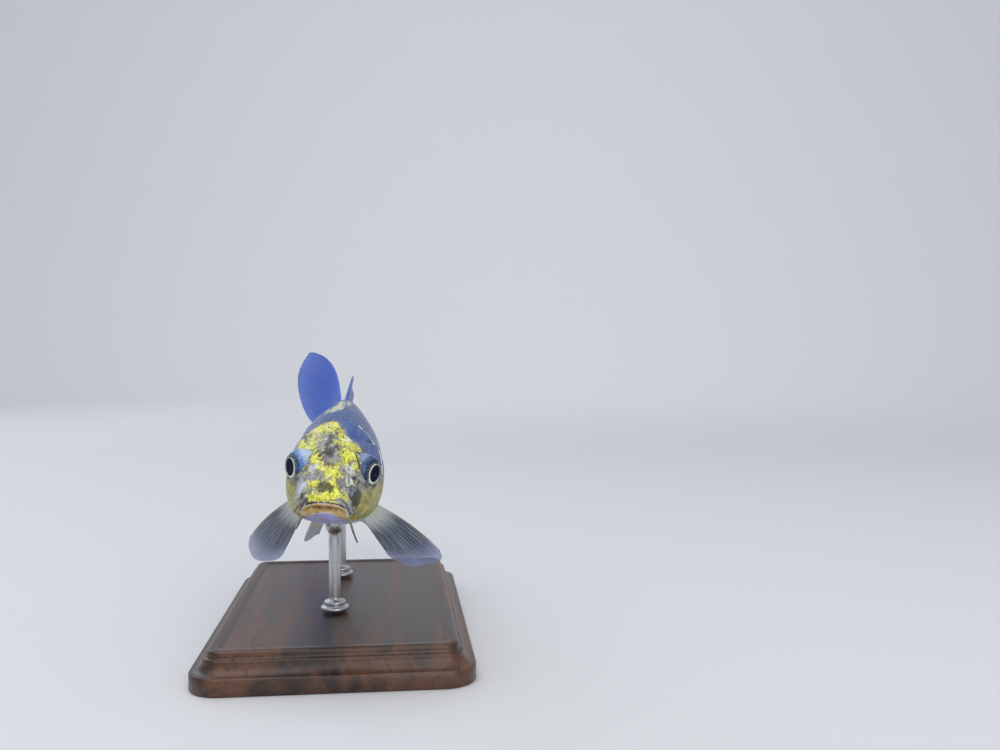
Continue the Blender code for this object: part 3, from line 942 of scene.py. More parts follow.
@dataclass(frozen=True)
class EyeFinish:
    """The eyeball: pupil, thin pale ring, iris, and the silver-blue ball round them, with a painted highlight
    and painted shade on the ball.
    """

    name: str
    ball: Colour
    ball_dark: Colour
    iris: Colour = (74, 82, 66)
    iris_pale: Colour = (128, 140, 122)
    ring: Colour = (252, 252, 242)
    pupil: Colour = (2, 4, 44)
    # painted highlight: a pale glint on the ball's outer part
    painted_sheen: Colour = (222, 238, 250)
    shade: Colour = (46, 58, 62)
    # painted shade: a dark band just outside the iris's edge
    rim: Colour = (26, 36, 42)
    crescent: Colour = (168, 182, 164)
    highlight_strength: float = 0.8  # how strong the painted highlight is on the ball's inner side
    pupil_edge: float = 0.495
    iris_edge: float = 0.68

    def material(self) -> Material:
        """Bands by the distance from the gaze's axis in "gaze", a share of the ball's radius.

        The pale ring and the pale crescent are widest towards the snout and at the bottom.

        Returns:
            The material.
        """
        nodes = Nodes(self.name)
        out, fore, low = nodes.read("gaze")
        streaks = nodes.noise(900, 4.0, rough=0.6)
        uneven = nodes.sum((1.0, out), (0.05, streaks))
        mottle = nodes.step(nodes.noise(650, 4.0, rough=0.6), 0.36, 0.64)
        painted_sheen = nodes.sum((1.0, nodes.step(out, 0.82, 1.0)), (0.9, streaks), (1.0, -0.45))
        edge = self.iris_edge
        iris = nodes.mix(nodes.step(streaks, 0.4, 0.62), self.iris, self.iris_pale)
        rim = nodes.math("ABSOLUTE", nodes.sum((1.0, uneven), (1.0, -edge - 0.08)))
        crescent = nodes.step(nodes.sum((1.0, uneven), (-0.22, low)), edge + 0.03, edge - 0.03)
        wide = nodes.sum((1.0, out), (-0.045, fore), (-0.03, low))
        ring = nodes.step(wide, self.pupil_edge + 0.05, self.pupil_edge + 0.034)
        ring = nodes.times(ring, nodes.sum((0.65, nodes.step(fore, 0.0, 0.5)), (1.0, 0.35)))
        colour = nodes.over(
            nodes.mix(mottle, self.ball_dark, self.ball),
            # painted highlight on the ball
            (nodes.times(nodes.step(painted_sheen, 0.36, 0.96), self.highlight_strength), self.painted_sheen),
            (nodes.times(nodes.step(low, 0.02, 0.6), 0.85), self.shade),
            (nodes.step(uneven, edge + 0.05, edge + 0.01), iris),
            # painted shade just outside the iris's edge
            (nodes.times(nodes.step(rim, 0.12, 0.0), 0.8), self.rim),
            (nodes.times(crescent, low), self.crescent),
            (ring, self.ring),
            (nodes.step(out, self.pupil_edge + 0.01, self.pupil_edge - 0.01), self.pupil),
        )
        return nodes.finish(Base_Color=colour, Roughness=0.35, Specular_IOR_Level=0.04)


@dataclass(frozen=True)
class CorneaFinish:
    """The clear, wet skin over the eyeball: nearly all see-through, and glossy."""

    tint: Colour = (120, 140, 190)
    deep: Colour = (8, 10, 20)

    def material(self) -> Material:
        """A clear skin that is a little milkier towards its rim, read from "gaze".

        Returns:
            The material.
        """
        nodes = Nodes("clear_eye_skin")
        out, _, _ = nodes.read("gaze")
        rim = nodes.step(out, 0.55, 0.95)
        colour = nodes.mix(rim, self.deep, self.tint)
        milk = nodes.sum((0.1, rim), (1.0, 0.05))
        return nodes.finish(Base_Color=colour, Roughness=0.04, Alpha=milk, Specular_IOR_Level=0.9)


@dataclass(frozen=True)
class BarbelFinish:
    """Soft skin, tan at the root and grey at the tip."""

    root: Colour = (150, 140, 88)
    tip: Colour = (84, 80, 82)

    def material(self) -> Material:
        """Tan to grey by the place along the barbel, mottled, from "fan".

        Returns:
            The material.
        """
        nodes = Nodes("barbel_skin")
        _, along, _ = nodes.read("fan")
        mottle = nodes.math("ADD", along, nodes.times(nodes.noise(1200, 3.0), 0.5))
        colour = nodes.mix(nodes.step(mottle, 0.25, 0.95), self.root, self.tip)
        return nodes.finish(
            Base_Color=colour, Roughness=0.34, Normal=nodes.bump(nodes.noise(3000, 2.0), 0.00004),
            Coat_Weight=0.3, Coat_Roughness=0.15,
        )


@dataclass(frozen=True)
class WoodFinish:
    """Dark stained wood under a satin varnish, its grain along the base."""

    light: Colour = (98, 62, 40)
    dark: Colour = (44, 26, 18)
    pore: Colour = (26, 15, 11)

    def material(self) -> Material:
        """Long streaks of noise for the grain, with short dark pores over them.

        Returns:
            The material.
        """
        nodes = Nodes("dark_wood")
        grain = nodes.noise(90, 5.0, (1.0, 0.07, 1.0), 1.2)
        pores = nodes.noise(900, 2.0, (1.0, 0.05, 1.0))
        colour = nodes.mix(nodes.step(grain, 0.36, 0.66), self.dark, self.light)
        colour = nodes.mix(nodes.times(nodes.step(pores, 0.56, 0.66), 0.6), colour, self.pore)
        rough = nodes.sum((0.25, grain), (1.0, 0.28))
        return nodes.finish(
            Base_Color=colour, Roughness=rough, Normal=nodes.bump(pores, 0.00004), Coat_Weight=0.25,
            Coat_Roughness=0.28,
        )


@dataclass(frozen=True)
class SteelFinish:
    """Turned steel with fine marks round it."""

    colour: Colour = (196, 196, 198)

    def material(self) -> Material:
        """Thin level bands of noise in the roughness and the relief, as turning leaves them.

        Returns:
            The material.
        """
        nodes = Nodes("turned_steel")
        marks = nodes.noise(500, 3.0, (0.05, 0.05, 8.0))
        rough = nodes.sum((0.16, marks), (1.0, 0.26))
        return nodes.finish(
            Base_Color=self.colour, Metallic=1.0, Roughness=rough, Normal=nodes.bump(marks, 0.000003)
        )


# -- Skin


def cover_of(patches: Rows, places: Array) -> Array:
    """How much soft patches cover a place: the sum of strength e^-(distance / radius)^3.

    Args:
        patches: Rows of u, left, up, radius, strength, and length over width along the profile.
        places: u, left and up.

    Returns:
        The sum.
    """
    total = np.zeros(places.shape[:-1])
    for *spot, radius, strength, long in patches:
        away = (places - np.array(spot)) / (radius * np.array([long, 1, long]))
        total += strength * np.exp(-((away**2).sum(axis=-1) ** 1.5))
    return total


YELLOW_PATCHES = (
    (0.005, -0.006, -0.025, 0.012, 0.55, 1.0), (0.005, 0.01, -0.027, 0.008, 0.28, 1.0),
    (0.007, -0.02, -0.028, 0.009, 0.42, 1.0), (0.01, 0.007, -0.013, 0.012, 0.5, 1.0),
    (0.016, -0.022, -0.011, 0.01, 0.42, 1.0), (0.036, 0.006, 0.008, 0.011, 0.32, 1.5),
    (0.043, -0.01, 0.015, 0.009, 0.28, 1.0), (0.062, 0.018, 0.022, 0.009, 0.26, 1.0),
    (0.078, -0.025, 0.027, 0.009, 0.4, 1.8), (0.106, -0.036, 0.034, 0.01, 0.45, 2.0),
    (0.15, -0.047, 0.044, 0.011, 0.53, 2.4), (0.188, -0.053, 0.049, 0.012, 0.52, 2.2),
    (0.199, -0.038, 0.065, 0.014, 0.57, 1.9), (0.196, -0.015, 0.077, 0.016, 0.64, 1.7),
    (0.146, 0.009, 0.062, 0.009, 0.36, 2.0), (0.13, 0.021, 0.053, 0.011, 0.46, 1.6),
    (0.139, 0.036, 0.046, 0.009, 0.36, 1.6), (0.086, 0.02, 0.033, 0.012, 0.5, 1.6),
    (0.105, 0.038, 0.032, 0.009, 0.34, 1.4), (0.088, -0.006, 0.039, 0.018, -0.26, 1.7),
    (0.134, -0.018, 0.055, 0.012, -0.14, 2.0), (0.034, 0.042, -0.016, 0.02, -0.28, 1.0),
    (0.034, -0.042, -0.02, 0.012, -0.3, 1.6),
)
CHARCOAL_PATCHES = (
    (0.012, -0.005, -0.011, 0.011, 0.8, 1.0), (0.19, -0.05, 0.053, 0.013, 0.22, 2.4),
    (0.088, -0.006, 0.039, 0.016, 0.22, 1.7), (0.134, -0.018, 0.055, 0.012, 0.14, 2.0),
    (0.028, 0.044, -0.03, 0.014, 0.8, 1.0), (0.024, 0.038, -0.02, 0.011, 0.62, 1.0),
    (0.063, 0.048, -0.007, 0.01, 0.42, 1.0), (0.04, 0.04, -0.012, 0.015, 0.34, 1.0),
    (0.04, 0.048, -0.022, 0.01, 0.3, 1.0), (0.016, -0.036, -0.031, 0.006, 0.5, 1.0),
    (0.034, -0.041, -0.042, 0.007, 0.42, 1.0), (0.064, -0.052, -0.018, 0.008, 0.42, 1.6),
)
# Cream flecks; the five patches on the top of the back, from u 0.325 on, are a painted highlight where light
# catches its top edge.
CREAM_AND_HIGHLIGHT_PATCHES = (
    (0.14, 0.019, 0.058, 0.007, 0.66, 1.6), (0.102, 0.04, 0.029, 0.008, 0.52, 1.0),
    (0.058, 0.028, 0.014, 0.015, 0.26, 1.0), (0.036, 0.032, -0.004, 0.016, 0.34, 1.0),
    (0.055, -0.027, 0.011, 0.015, 0.26, 1.0), (0.18, -0.018, 0.071, 0.018, 0.2, 2.0),
    (0.17, -0.048, 0.05, 0.014, 0.24, 2.0), (0.325, -0.029, 0.097, 0.006, 0.7, 6.0),
    (0.325, -0.017, 0.102, 0.007, 0.76, 6.0), (0.33, -0.003, 0.106, 0.006, 0.66, 6.0),
    (0.385, -0.008, 0.111, 0.008, 0.66, 7.0), (0.395, 0.008, 0.112, 0.008, 0.6, 7.0),
)
# Patches of painted sheen: a pale reflection on the lower cheeks and by a nostril.
PAINTED_SHEEN_PATCHES = (
    (0.03, -0.04, -0.016, 0.0105, 0.76, 1.6), (0.054, -0.045, -0.008, 0.007, 0.6, 1.5),
    (0.024, 0.026, -0.002, 0.01, 0.34, 1.0),
)


@dataclass
class Skin:
    """One skin over head, jaw, gill covers, trunk and tail stock."""

    body: BodyForm
    cover: GillCover
    flesh: tuple[str, ...] = (
        "head", "upper_lip", "lower_jaw", "gill_cover_left", "gill_cover_right", "trunk_front", "trunk_rear",
        "tail_stock",
    )
    columns: int = 248
    rings: int = 380
    coat_depth: float = 0.0024
    tail_end: float = 1.02  # the scaly end of the tail stock, over the roots of the tail fin
    mouth_middle: float = -0.0412  # how high the mouth's line is in the middle
    mouth_drop: float = 0.0095  # and how much lower at its corners
    mouth_half: float = 0.034
    mouth_reach: float = 0.042  # how far back along u it can be seen
    nostril: Point = (0.057, 0.0275, 0.0125)
    nostril_rear: Point = (0.0615, 0.031, 0.016)
    lid: Point = (0.09, 0.038, 0.025)
    # Bells of relief, each as how far it stands out, its middle and its width
    mouth_bells: Rows = (
        (-0.002, 0.0, 0.0014), (0.0018, 0.0038, 0.0026), (-0.0016, 0.0092, 0.0015),
        (0.0022, -0.0072, 0.0048), (-0.001, -0.0155, 0.0022), (0.0012, 0.015, 0.005),
        (0.001, -0.0215, 0.004),
    )
    nostril_bells: Rows = ((0.0022, 0.0048, 0.0016), (-0.0048, 0.0, 0.0028))
    nostril_rear_bells: Rows = ((-0.003, 0.0, 0.002), (0.0012, 0.0036, 0.001))
    socket_bells: Rows = ((0.0012, 1.14, 0.07), (-0.001, 1.3, 0.07))
    cheek_bells: Rows = ((-0.0026, 0.0, 0.0013), (0.0009, 0.0042, 0.0022))
    throat_bells: Rows = ((-0.0024, 0.0, 0.0022), (0.001, 0.006, 0.003))
    slit_bells: Rows = ((-0.0042, 1.035, 0.02), (0.0009, 0.955, 0.03))
    bone_bells: Rows = ((-0.0013, 1.0, 0.03), (0.001, 0.9, 0.06))
    pore: Point = (-0.001, 0.0, 0.0016)
    pores: int = 9  # in each of the four rows
    cheek_fold: Rows = (  # left and up, from the lip round the corner
        (0.019, -0.0285), (0.0262, -0.0305), (0.0318, -0.036), (0.0352, -0.0425), (0.0385, -0.052),
    )
    jaw_fold: Rows = (  # u and up
        (0.032, -0.052), (0.046, -0.062), (0.062, -0.071), (0.08, -0.078),
    )
    throat_fold: Rows = (  # u and left, from below
        (0.262, 0.056), (0.215, 0.046), (0.165, 0.03), (0.118, 0.01),
    )
    shoulder_streak: Rows = (
        (0.232, 0.036, 0.076), (0.229, 0.049, 0.066), (0.227, 0.058, 0.055), (0.23, 0.067, 0.043),
        (0.228, 0.071, 0.031), (0.212, 0.073, 0.016), (0.2, 0.074, 0.004),
    )

    def stations(self) -> Array:
        """Places of the rings, closest where the outline turns fastest and on the head.

        The outline's length is added up, divided by the spacing wanted there, and cut evenly.

        Returns:
            Places along u, without the two poles.
        """
        start = -self.body.snout_rounding / 4
        u = start + (self.tail_end - start) * np.linspace(0, 1, 8000) ** 2
        back = self.body.section(u, 0.0)[1]
        side = self.body.section(u, math.pi / 2)[0]
        length = np.hypot(np.hypot(np.diff(u), np.diff(back)), np.diff(side))
        spacing = 0.0011 + 0.0007 * smooth(0.03, 0.14, u) + 0.0038 * smooth(0.28, 0.32, u)
        dense = np.concatenate([[0], np.cumsum(length / spacing[1:])])
        return np.interp(np.linspace(0, dense[-1], self.rings + 2)[1:-1], dense, u)

    def mouth_height(self, left: Array, up: Array) -> Array:
        """Height over the mouth's line, whose drop grows with the cube of the distance sideways."""
        return up - self.mouth_middle + self.mouth_drop * (np.abs(left) / self.mouth_half) ** 3

    def mouth_share(self, u: Array, left: Array) -> Array:
        """1 along the mouth, falling to 0 past its corners."""
        wide = smooth(self.mouth_half + 0.003, self.mouth_half - 0.003, np.abs(left))
        return wide * smooth(self.mouth_reach, self.mouth_reach - 0.012, u)

    def distance(self, places: Array, spot: Point) -> Array:
        """Distance from a spot of the left side or from its mirror image, whichever side a place is on."""
        return np.linalg.norm(mirrored(places) - np.array(spot), axis=-1)

    def relief(self, places: Array) -> Array:
        """How far the skin stands out: the sum of the reliefs, less the coat's depth under scales.

        Args:
            places: u, left and up.

        Returns:
            Shares outwards.
        """
        parts = (
            self.mouth_relief, self.nostril_relief, self.socket_relief, self.fold_relief, self.gill_relief,
            self.pore_relief,
        )
        covered = self.cover.behind(places[..., 0], places[..., 2])
        return sum(part(places) for part in parts) - self.coat_depth * covered

    def mouth_relief(self, places: Array) -> Array:
        """A sharp cleft between two rounded lips, each with a groove beyond it."""
        u, left, up = split(places)
        return bells(self.mouth_height(left, up), self.mouth_bells) * self.mouth_share(u, left)

    def nostril_relief(self, places: Array) -> Array:
        """A pit in a raised ring, with a flap across its middle and a smaller pit behind."""
        front = bells(self.distance(places, self.nostril), self.nostril_bells)
        return front + bells(self.distance(places, self.nostril_rear), self.nostril_rear_bells)

    def socket_relief(self, places: Array) -> Array:
        """A low rolled rim round the eyeball, a sunk bed under it, and a lid over its inner side.

        Args:
            places: u, left and up.

        Returns:
            Shares outwards.
        """
        away = self.distance(places, self.body.eye) / self.body.eye_radius
        lid = np.where(places[..., 1] > 0, 0.01, 0.0052) * hump(self.distance(places, self.lid), 0.0, 0.02)
        return bells(away, self.socket_bells) + lid - 0.0016 * smooth(1.04, 0.96, away)

    def fold_relief(self, places: Array) -> Array:
        """Grooves along the cheek folds, the jaw's edge, the throat and the chin.

        Args:
            places: u, left and up.

        Returns:
            Shares outwards.
        """
        u, left, up = split(places)
        across = np.abs(left)
        cheek = line_distance(beside(across, up), self.cheek_fold)
        jaw = line_distance(beside(u, up), self.jaw_fold)
        throat = line_distance(beside(u, across), self.throat_fold)
        out = bells(cheek, self.cheek_bells) * smooth(0.058, 0.04, u)
        out += -0.002 * hump(jaw, 0.0, 0.0018) * smooth(0.018, 0.026, across)
        out += bells(throat, self.throat_bells) * smooth(-0.058, -0.07, up)
        chin = 0.0012 * hump(u, 0.07, 0.003) * smooth(0.034, 0.02, across)
        return out - chin * smooth(-0.06, -0.068, up)

    def gill_relief(self, places: Array) -> Array:
        """The raised cover with the slit behind it, and the curved groove of its front bone.

        Args:
            places: u, left and up.

        Returns:
            Shares outwards.
        """
        u, left, up = split(places)
        radius = self.cover.radius(u, up)
        behind = smooth(-0.02, 0.012, u - self.cover.middle[0])
        plate = (0.0022 * smooth(1.0, 0.9, radius) + bells(radius, self.slit_bells)) * behind
        front_bone = np.hypot((u - 0.128) / 0.046, (up + 0.024) / 0.052)
        groove = bells(front_bone, self.bone_bells) * smooth(0.135, 0.16, u)
        return (plate + groove) * smooth(0.03, 0.046, np.abs(left))

    def pore_relief(self, places: Array) -> Array:
        """Small pits of the sensory canals: an arc under each eye, and a row over the forehead.

        Args:
            places: u, left and up.

        Returns:
            Shares outwards.
        """
        folded = mirrored(places)
        eye_u, _, eye_up = self.body.eye
        turn = np.radians(np.linspace(200, 350, self.pores))
        brow = np.linspace(0.075, 0.215, self.pores)
        under_eye = beside(eye_u + 0.041 * np.cos(turn), eye_up + 0.043 * np.sin(turn))
        forehead = beside(brow, 0.02 + 0.06 * (brow - 0.075))
        rows = (
            (under_eye, folded[..., [0, 2]], folded[..., 1] > 0.02),
            (forehead, folded[..., :2], folded[..., 2] > 0.01),
        )
        return sum(
            bells(np.linalg.norm(flat - spot, axis=-1), [self.pore]) * shown
            for spots, flat, shown in rows
            for spot in spots
        )

    def ground(self, places: Array) -> list[Array]:
        """How slate, how pale and how olive a place is.

        Slate covers the back behind a slanting edge on the nape and all the flank, pale the belly
        and the throat, and olive the cheeks and the gill covers.

        Args:
            places: u, left and up.

        Returns:
            Three arrays from 0 to 1.
        """
        u, left, up = split(places)
        edge = self.nape_edge(left)
        nape = smooth(edge - 0.012, edge + 0.016, u)
        height = self.body.height_share(u, up)
        high = smooth(0.38, 0.64, height)
        slate = np.maximum(nape * high, self.cover.behind(u, up))
        low_head = smooth(0.13, 0.04, height) * smooth(0.05, 0.1, u) * smooth(0.3, 0.22, u)
        low_body = smooth(0.36, 0.1, height) * smooth(0.24, 0.34, u)
        pale = np.clip(np.maximum(low_head, low_body), 0, 1) * 0.9
        olive = smooth(0.64, 0.42, height) * smooth(0.014, 0.034, u) * smooth(0.3, 0.26, u)
        return [slate, pale, np.clip(olive, 0, 1) * (1 - self.cover.behind(u, up))]

    def nape_edge(self, left: Array) -> Array:
        """Where the yellow head ends on the nape: further forward on the left side."""
        return 0.222 - 0.078 * smooth(-0.012, 0.024, left)

    def marks(self, places: Array) -> list[Array]:
        """How much of a place yellow, charcoal and cream flecks cover, the cream also painting a highlight
        along the top of the back: the sum of the patches.

        Args:
            places: u, left and up.

        Returns:
            Three arrays.
        """
        u, left, up = split(places)
        streak = hump(line_distance(places, self.shoulder_streak), 0.0, 0.0066)
        edge = self.nape_edge(left)
        head = smooth(edge + 0.022, edge - 0.018, u)
        face = smooth(-0.046, -0.022, up) * head
        side = smooth(0.034, 0.052, np.abs(left)) * smooth(0.02, -0.01, up)
        yellow, charcoal, cream = (
            cover_of(patches, places) for patches in (YELLOW_PATCHES, CHARCOAL_PATCHES, CREAM_AND_HIGHLIGHT_PATCHES)
        )
        yellow = np.clip(yellow + 0.36 * face * (1 - 0.75 * side), 0, 0.82) * head
        charcoal = np.clip(charcoal + 0.23 * face * (1 - 0.5 * side), 0, 1)
        cream = np.maximum(cream + 0.17 * face * (1 - 0.6 * side), 0.92 * streak)
        return [yellow, charcoal, cream]

    def lips(self, places: Array) -> list[Array]:
        """Where the lips, the dark edge of the upper one and the painted shade along the mouth's line are.

        Args:
            places: u, left and up.

        Returns:
            Three arrays from 0 to 1.
        """
        u, left, up = split(places)
        height, share = self.mouth_height(left, up), self.mouth_share(u, left)
        low = -0.005 - 0.0055 * smooth(0.006, 0.028, np.abs(left))
        band = smooth(low - 0.0055, low, height) * smooth(0.006, 0.0032, height)
        edge = 0.76 * hump(height, 0.0068, 0.0024) * smooth(0.036, 0.026, np.abs(left))
        cleft = hump(height, -0.0006, 0.0026) * smooth(0.03, 0.01, np.abs(left))
        return [band * share, edge * share, cleft * share]

    def spots(self, places: Array) -> list[Array]:
        """Where the pale chin is, and the painted shade round the eyes, in the gill slits and along the cheek
        folds.

        Args:
            places: u, left and up.

        Returns:
            Three arrays from 0 to 1.
        """
        u, left, up = split(places)
        low = -0.004 - 0.0055 * smooth(0.006, 0.028, np.abs(left))
        chin = smooth(low, low - 0.007, self.mouth_height(left, up)) * smooth(0.11, 0.07, u)
        chin *= smooth(-0.044, -0.052, up)
        away = self.distance(places, self.body.eye) / self.body.eye_radius
        # painted shade in the rim round each eye, stronger on the fish's left side
        socket_shade = hump(away, 1.04, 0.09) * np.where(left > 0, 0.85, 0.55)
        # painted shade: the gill slit behind each cover and the cheek-fold creases are darkened
        radius = self.cover.radius(u, up)
        slit = hump(radius, 1.035, 0.022) * smooth(0.0, 0.02, u - self.cover.middle[0])
        slit *= smooth(0.03, 0.046, np.abs(left))
        front = line_distance(beside(np.abs(left), up), self.cheek_fold)
        crease = hump(front, 0.0, 0.0013) * smooth(0.058, 0.04, u) * smooth(0.022, 0.028, np.abs(left))
        return [chin * 0.85, socket_shade, np.clip(slit * 0.45 + crease * 0.75, 0, 1)]

    def nose(self, places: Array) -> list[Array]:
        """Where the nostrils' pale rings and the painted shade in their pits are, and the painted sheen on
        the cheeks.

        Args:
            places: u, left and up.

        Returns:
            Three arrays from 0 to 1.
        """
        away = self.distance(places, self.nostril)
        ring = hump(away, 0.0062, 0.0018) + 0.4 * smooth(0.0062, 0.0044, away)
        painted_sheen = cover_of(PAINTED_SHEEN_PATCHES, places)
        # The second column is painted shade in the nostrils' pits.
        return [np.clip(ring, 0, 1), 0.7 * hump(away, 0.0, 0.0024), np.clip(painted_sheen, 0, 1)]

    def build(self) -> Piece:
        """Makes the skin: rings of points pushed out by the relief, closed at snout and tail.

        Returns:
            The dressed piece.
        """
        u = self.stations()[:, None]
        angle = once_round(self.columns)[None, :]
        thin = np.clip((u - 1.0) / (self.tail_end - 1.0), 0, 1)
        left, up = self.body.section(u, angle)
        left = left * (1 - 0.72 * thin)
        up = up * (1 + 0.02 * thin)
        places = beside(u, left, up)
        base = self.body.spine.lay(places)
        round_step = np.roll(base, -1, axis=1) - np.roll(base, 1, axis=1)
        normal = unit(np.cross(round_step, np.gradient(base, axis=0)))
        out = self.relief(places) * (1 - thin)
        points = base + normal * (out * STANDARD_LENGTH)[..., None]
        piece = closed_piece("carp_skin", points, [points[0].mean(axis=0), points[-1].mean(axis=0)])
        ends = np.array([[u[0, 0], 0, up[0].mean()], [u[-1, 0], 0, 0]])
        places = np.concatenate([places.reshape(-1, 3), ends])
        for share in (self.ground, self.marks, self.lips, self.spots, self.nose):
            store(piece, share.__name__, share(places))
        return fit_piece(piece, SkinFinish().material(), self.flesh)


# -- Scales


@dataclass
class ScaleCoat:
    """Overlapping scales in rows from the gill covers to the tail fin."""

    body: BodyForm
    cover: GillCover
    skin: Skin
    rows: int = 28  # all the way round
    pitch: float = 1.02  # how far apart along a row, as a share of the rows' spacing
    length: float = 1.95  # of a scale, in pitches
    half_width: float = 0.99  # in rows
    thickness: float = 0.0008
    lift: float = 0.0034  # how much higher the free edge is than the root
    lateral_rows: tuple[int, int] = (6, 21)
    bake_patch: float = 0.003

    def places(self) -> tuple[Array, Array, Array]:
        """Where the scales' roots are: every second row is half a pitch further back.

        The count along the body adds up 1 / pitch, so that scales shrink with the girth.

        Returns:
            The root's u, the row's number and the scale's number, for each scale.
        """
        u = np.linspace(0.2, 1.0, 2000)
        girth = np.interp(u, self.body.girth_u, self.body.half_girth)
        spacing = girth / (self.rows / 2) * self.pitch
        count = np.concatenate([[0], np.cumsum(np.diff(u) / spacing[1:])])
        row, number = np.meshgrid(np.arange(self.rows), np.arange(int(count[-1])), indexing="ij")
        root = np.interp(number + 0.5 * (row % 2), count, u)
        return root.ravel(), row.ravel(), number.ravel()

    def plate(self) -> tuple[Array, Array, Array, Array, Array]:
        """One scale as a closed plate: seven points across its top and five underneath, in five stages.

        Returns:
            Across from -1 to 1, along from 0 to 1, and 1 on the top and 0 underneath, for each
            point; then its four-sided and its three-sided faces.
        """
        top = np.linspace(-1, 1, 7)
        under = np.linspace(0.72, -0.72, 5)
        across = np.concatenate([top, under])
        upper = np.concatenate([np.full(7, 1.0), np.zeros(5)])
        upper[[0, 6]] = 0.5
        along = np.array([0.0, 0.35, 0.62, 0.84, 1.0])
        ring = len(across)
        stages = len(along)
        quads = sheet_faces(stages, ring, wrap=True)[:, ::-1]
        cap = np.array([[1, 2, 10, 11], [2, 3, 9, 10], [3, 4, 8, 9], [4, 5, 7, 8]])
        ends = np.array([[0, 1, 11], [5, 6, 7]])
        last = ring * (stages - 1)
        quads = np.concatenate([quads, cap, cap[:, ::-1] + last])
        triangles = np.concatenate([ends, ends[:, ::-1] + last])
        grid = np.meshgrid(across, along)
        return grid[0].ravel(), grid[1].ravel(), np.tile(upper, stages), quads, triangles

    def build(self, side: Side) -> Piece:
        """Makes the scales of one side as one piece.

        A point at (across a, along b) lies at u = root + length b (1 - 0.34 a^2 - 0.14 a^4), and
        at row + half width a round the body. Its height over the outline rises from the root to
        the free edge, and is a little less at the sides.

        Args:
            side: Which side.

        Returns:
            The dressed piece.
        """
        root, row, number = self.places()
        half = self.rows // 2
        on_side = row < half if side is Side.LEFT else row >= half
        girth = np.interp(root, self.body.girth_u, self.body.half_girth)
        length = girth / half * self.pitch * self.length
        angle = self.body.angle_at(root + length / 2, (row + 0.5) / self.rows)
        _, up = self.body.section(root + length / 2, angle)
        shown = self.cover.behind(root + length * 0.75, up) > 0.35
        keep = on_side & shown & (root + length < self.skin.tail_end)
        scales = beside(root, row, number, length)[keep]
        root, row, _, length = scales.T
        across, along, upper, quads, triangles = self.plate()
        curve = 1 - 0.34 * across**2 - 0.14 * across**4
        u = root[:, None] + length[:, None] * (along * curve)[None, :]
        share = (row[:, None] + 0.5 + self.half_width * across[None, :]) / self.rows
        angle = self.body.angle_at(np.minimum(u, 1.0), share)
        covered = np.clip(self.cover.behind(u + 0.012, self.body.section(u, angle)[1]), 0, 1)
        height = self.lift * (along - 1) - 0.0005 * across**2 - self.thickness * (1 - upper)
        height = height[None, :] + 0.0001 - 0.0014 * (1 - covered)
        base = self.body.point(u, angle)
        normal = self.body.normal(u, angle)
        points = base + normal * (height * STANDARD_LENGTH)[..., None]
        count = len(root)
        step = len(across) * np.arange(count)[:, None, None]
        faces = [(quads[None] + step).reshape(-1, 4), (triangles[None] + step).reshape(-1, 3)]
        piece = make_piece(f"scales_{side.word}", points, faces)
        self.mark(piece, scales, across, along)
        return fit_piece(piece, ScaleFinish().material())

    def mark(self, piece: Piece, scales: Array, across: Array, along: Array) -> None:
        """Gives the scales their markings, one value for a whole scale, and their bake map.

        Args:
            piece: The piece.
            scales: Each scale's root, row, number in the row and length, in rows.
            across: Each point's place across its scale.
            along: Each point's place along it.
        """
        root, row, number, length = scales.T
        middle = root + length * 0.6
        angle = self.body.angle_at(middle, (row + 0.5) / self.rows)
        left, up = self.body.section(middle, angle)
        places = beside(middle, left, up)
        points = (len(root), len(across))
        spread = np.ones(points)
        ground = [column[:, None] * spread for column in self.skin.ground(places)]
        u = root[:, None] + length[:, None] * along[None, :]
        around = self.body.angle_at(np.minimum(u, 1.0), (row[:, None] + 0.5 + across[None, :]) / self.rows)
        marks = self.skin.marks(beside(u, *self.body.section(u, around)))
        tone = np.mod(np.sin(row * 12.9898 + number * 78.233) * 43758.5453, 1.0)
        store(piece, "ground", ground)
        store(piece, "marks", marks)
        store(piece, "plate", [along[None] * spread, np.abs(across)[None] * spread, tone[:, None] * spread])
        pore = np.isin(row, self.lateral_rows)[:, None] * hump(across, 0.0, 0.3)[None]
        pore = pore * smooth(0.45, 0.6, along)[None] * smooth(0.98, 0.88, along)[None]
        flank = smooth(0.97, 0.74, self.body.height_share(middle, up))[:, None] * spread
        store(piece, "line", [pore, flank, ground[1]])
        unwrapped = beside(root / 1.1, (row + 0.5) / self.rows)
        local = beside(along - 0.5, across / 2) * self.bake_patch
        table = (unwrapped[:, None, :] + local[None, :, :]).reshape(-1, 2)
        corners = np.zeros(len(piece.data.loops), np.int32)
        piece.data.loops.foreach_get("vertex_index", corners)
        bake_map = piece.data.uv_layers.new(name="OFBake")
        bake_map.data.foreach_set("uv", table[corners].astype(np.float32).ravel())


# -- Eyes


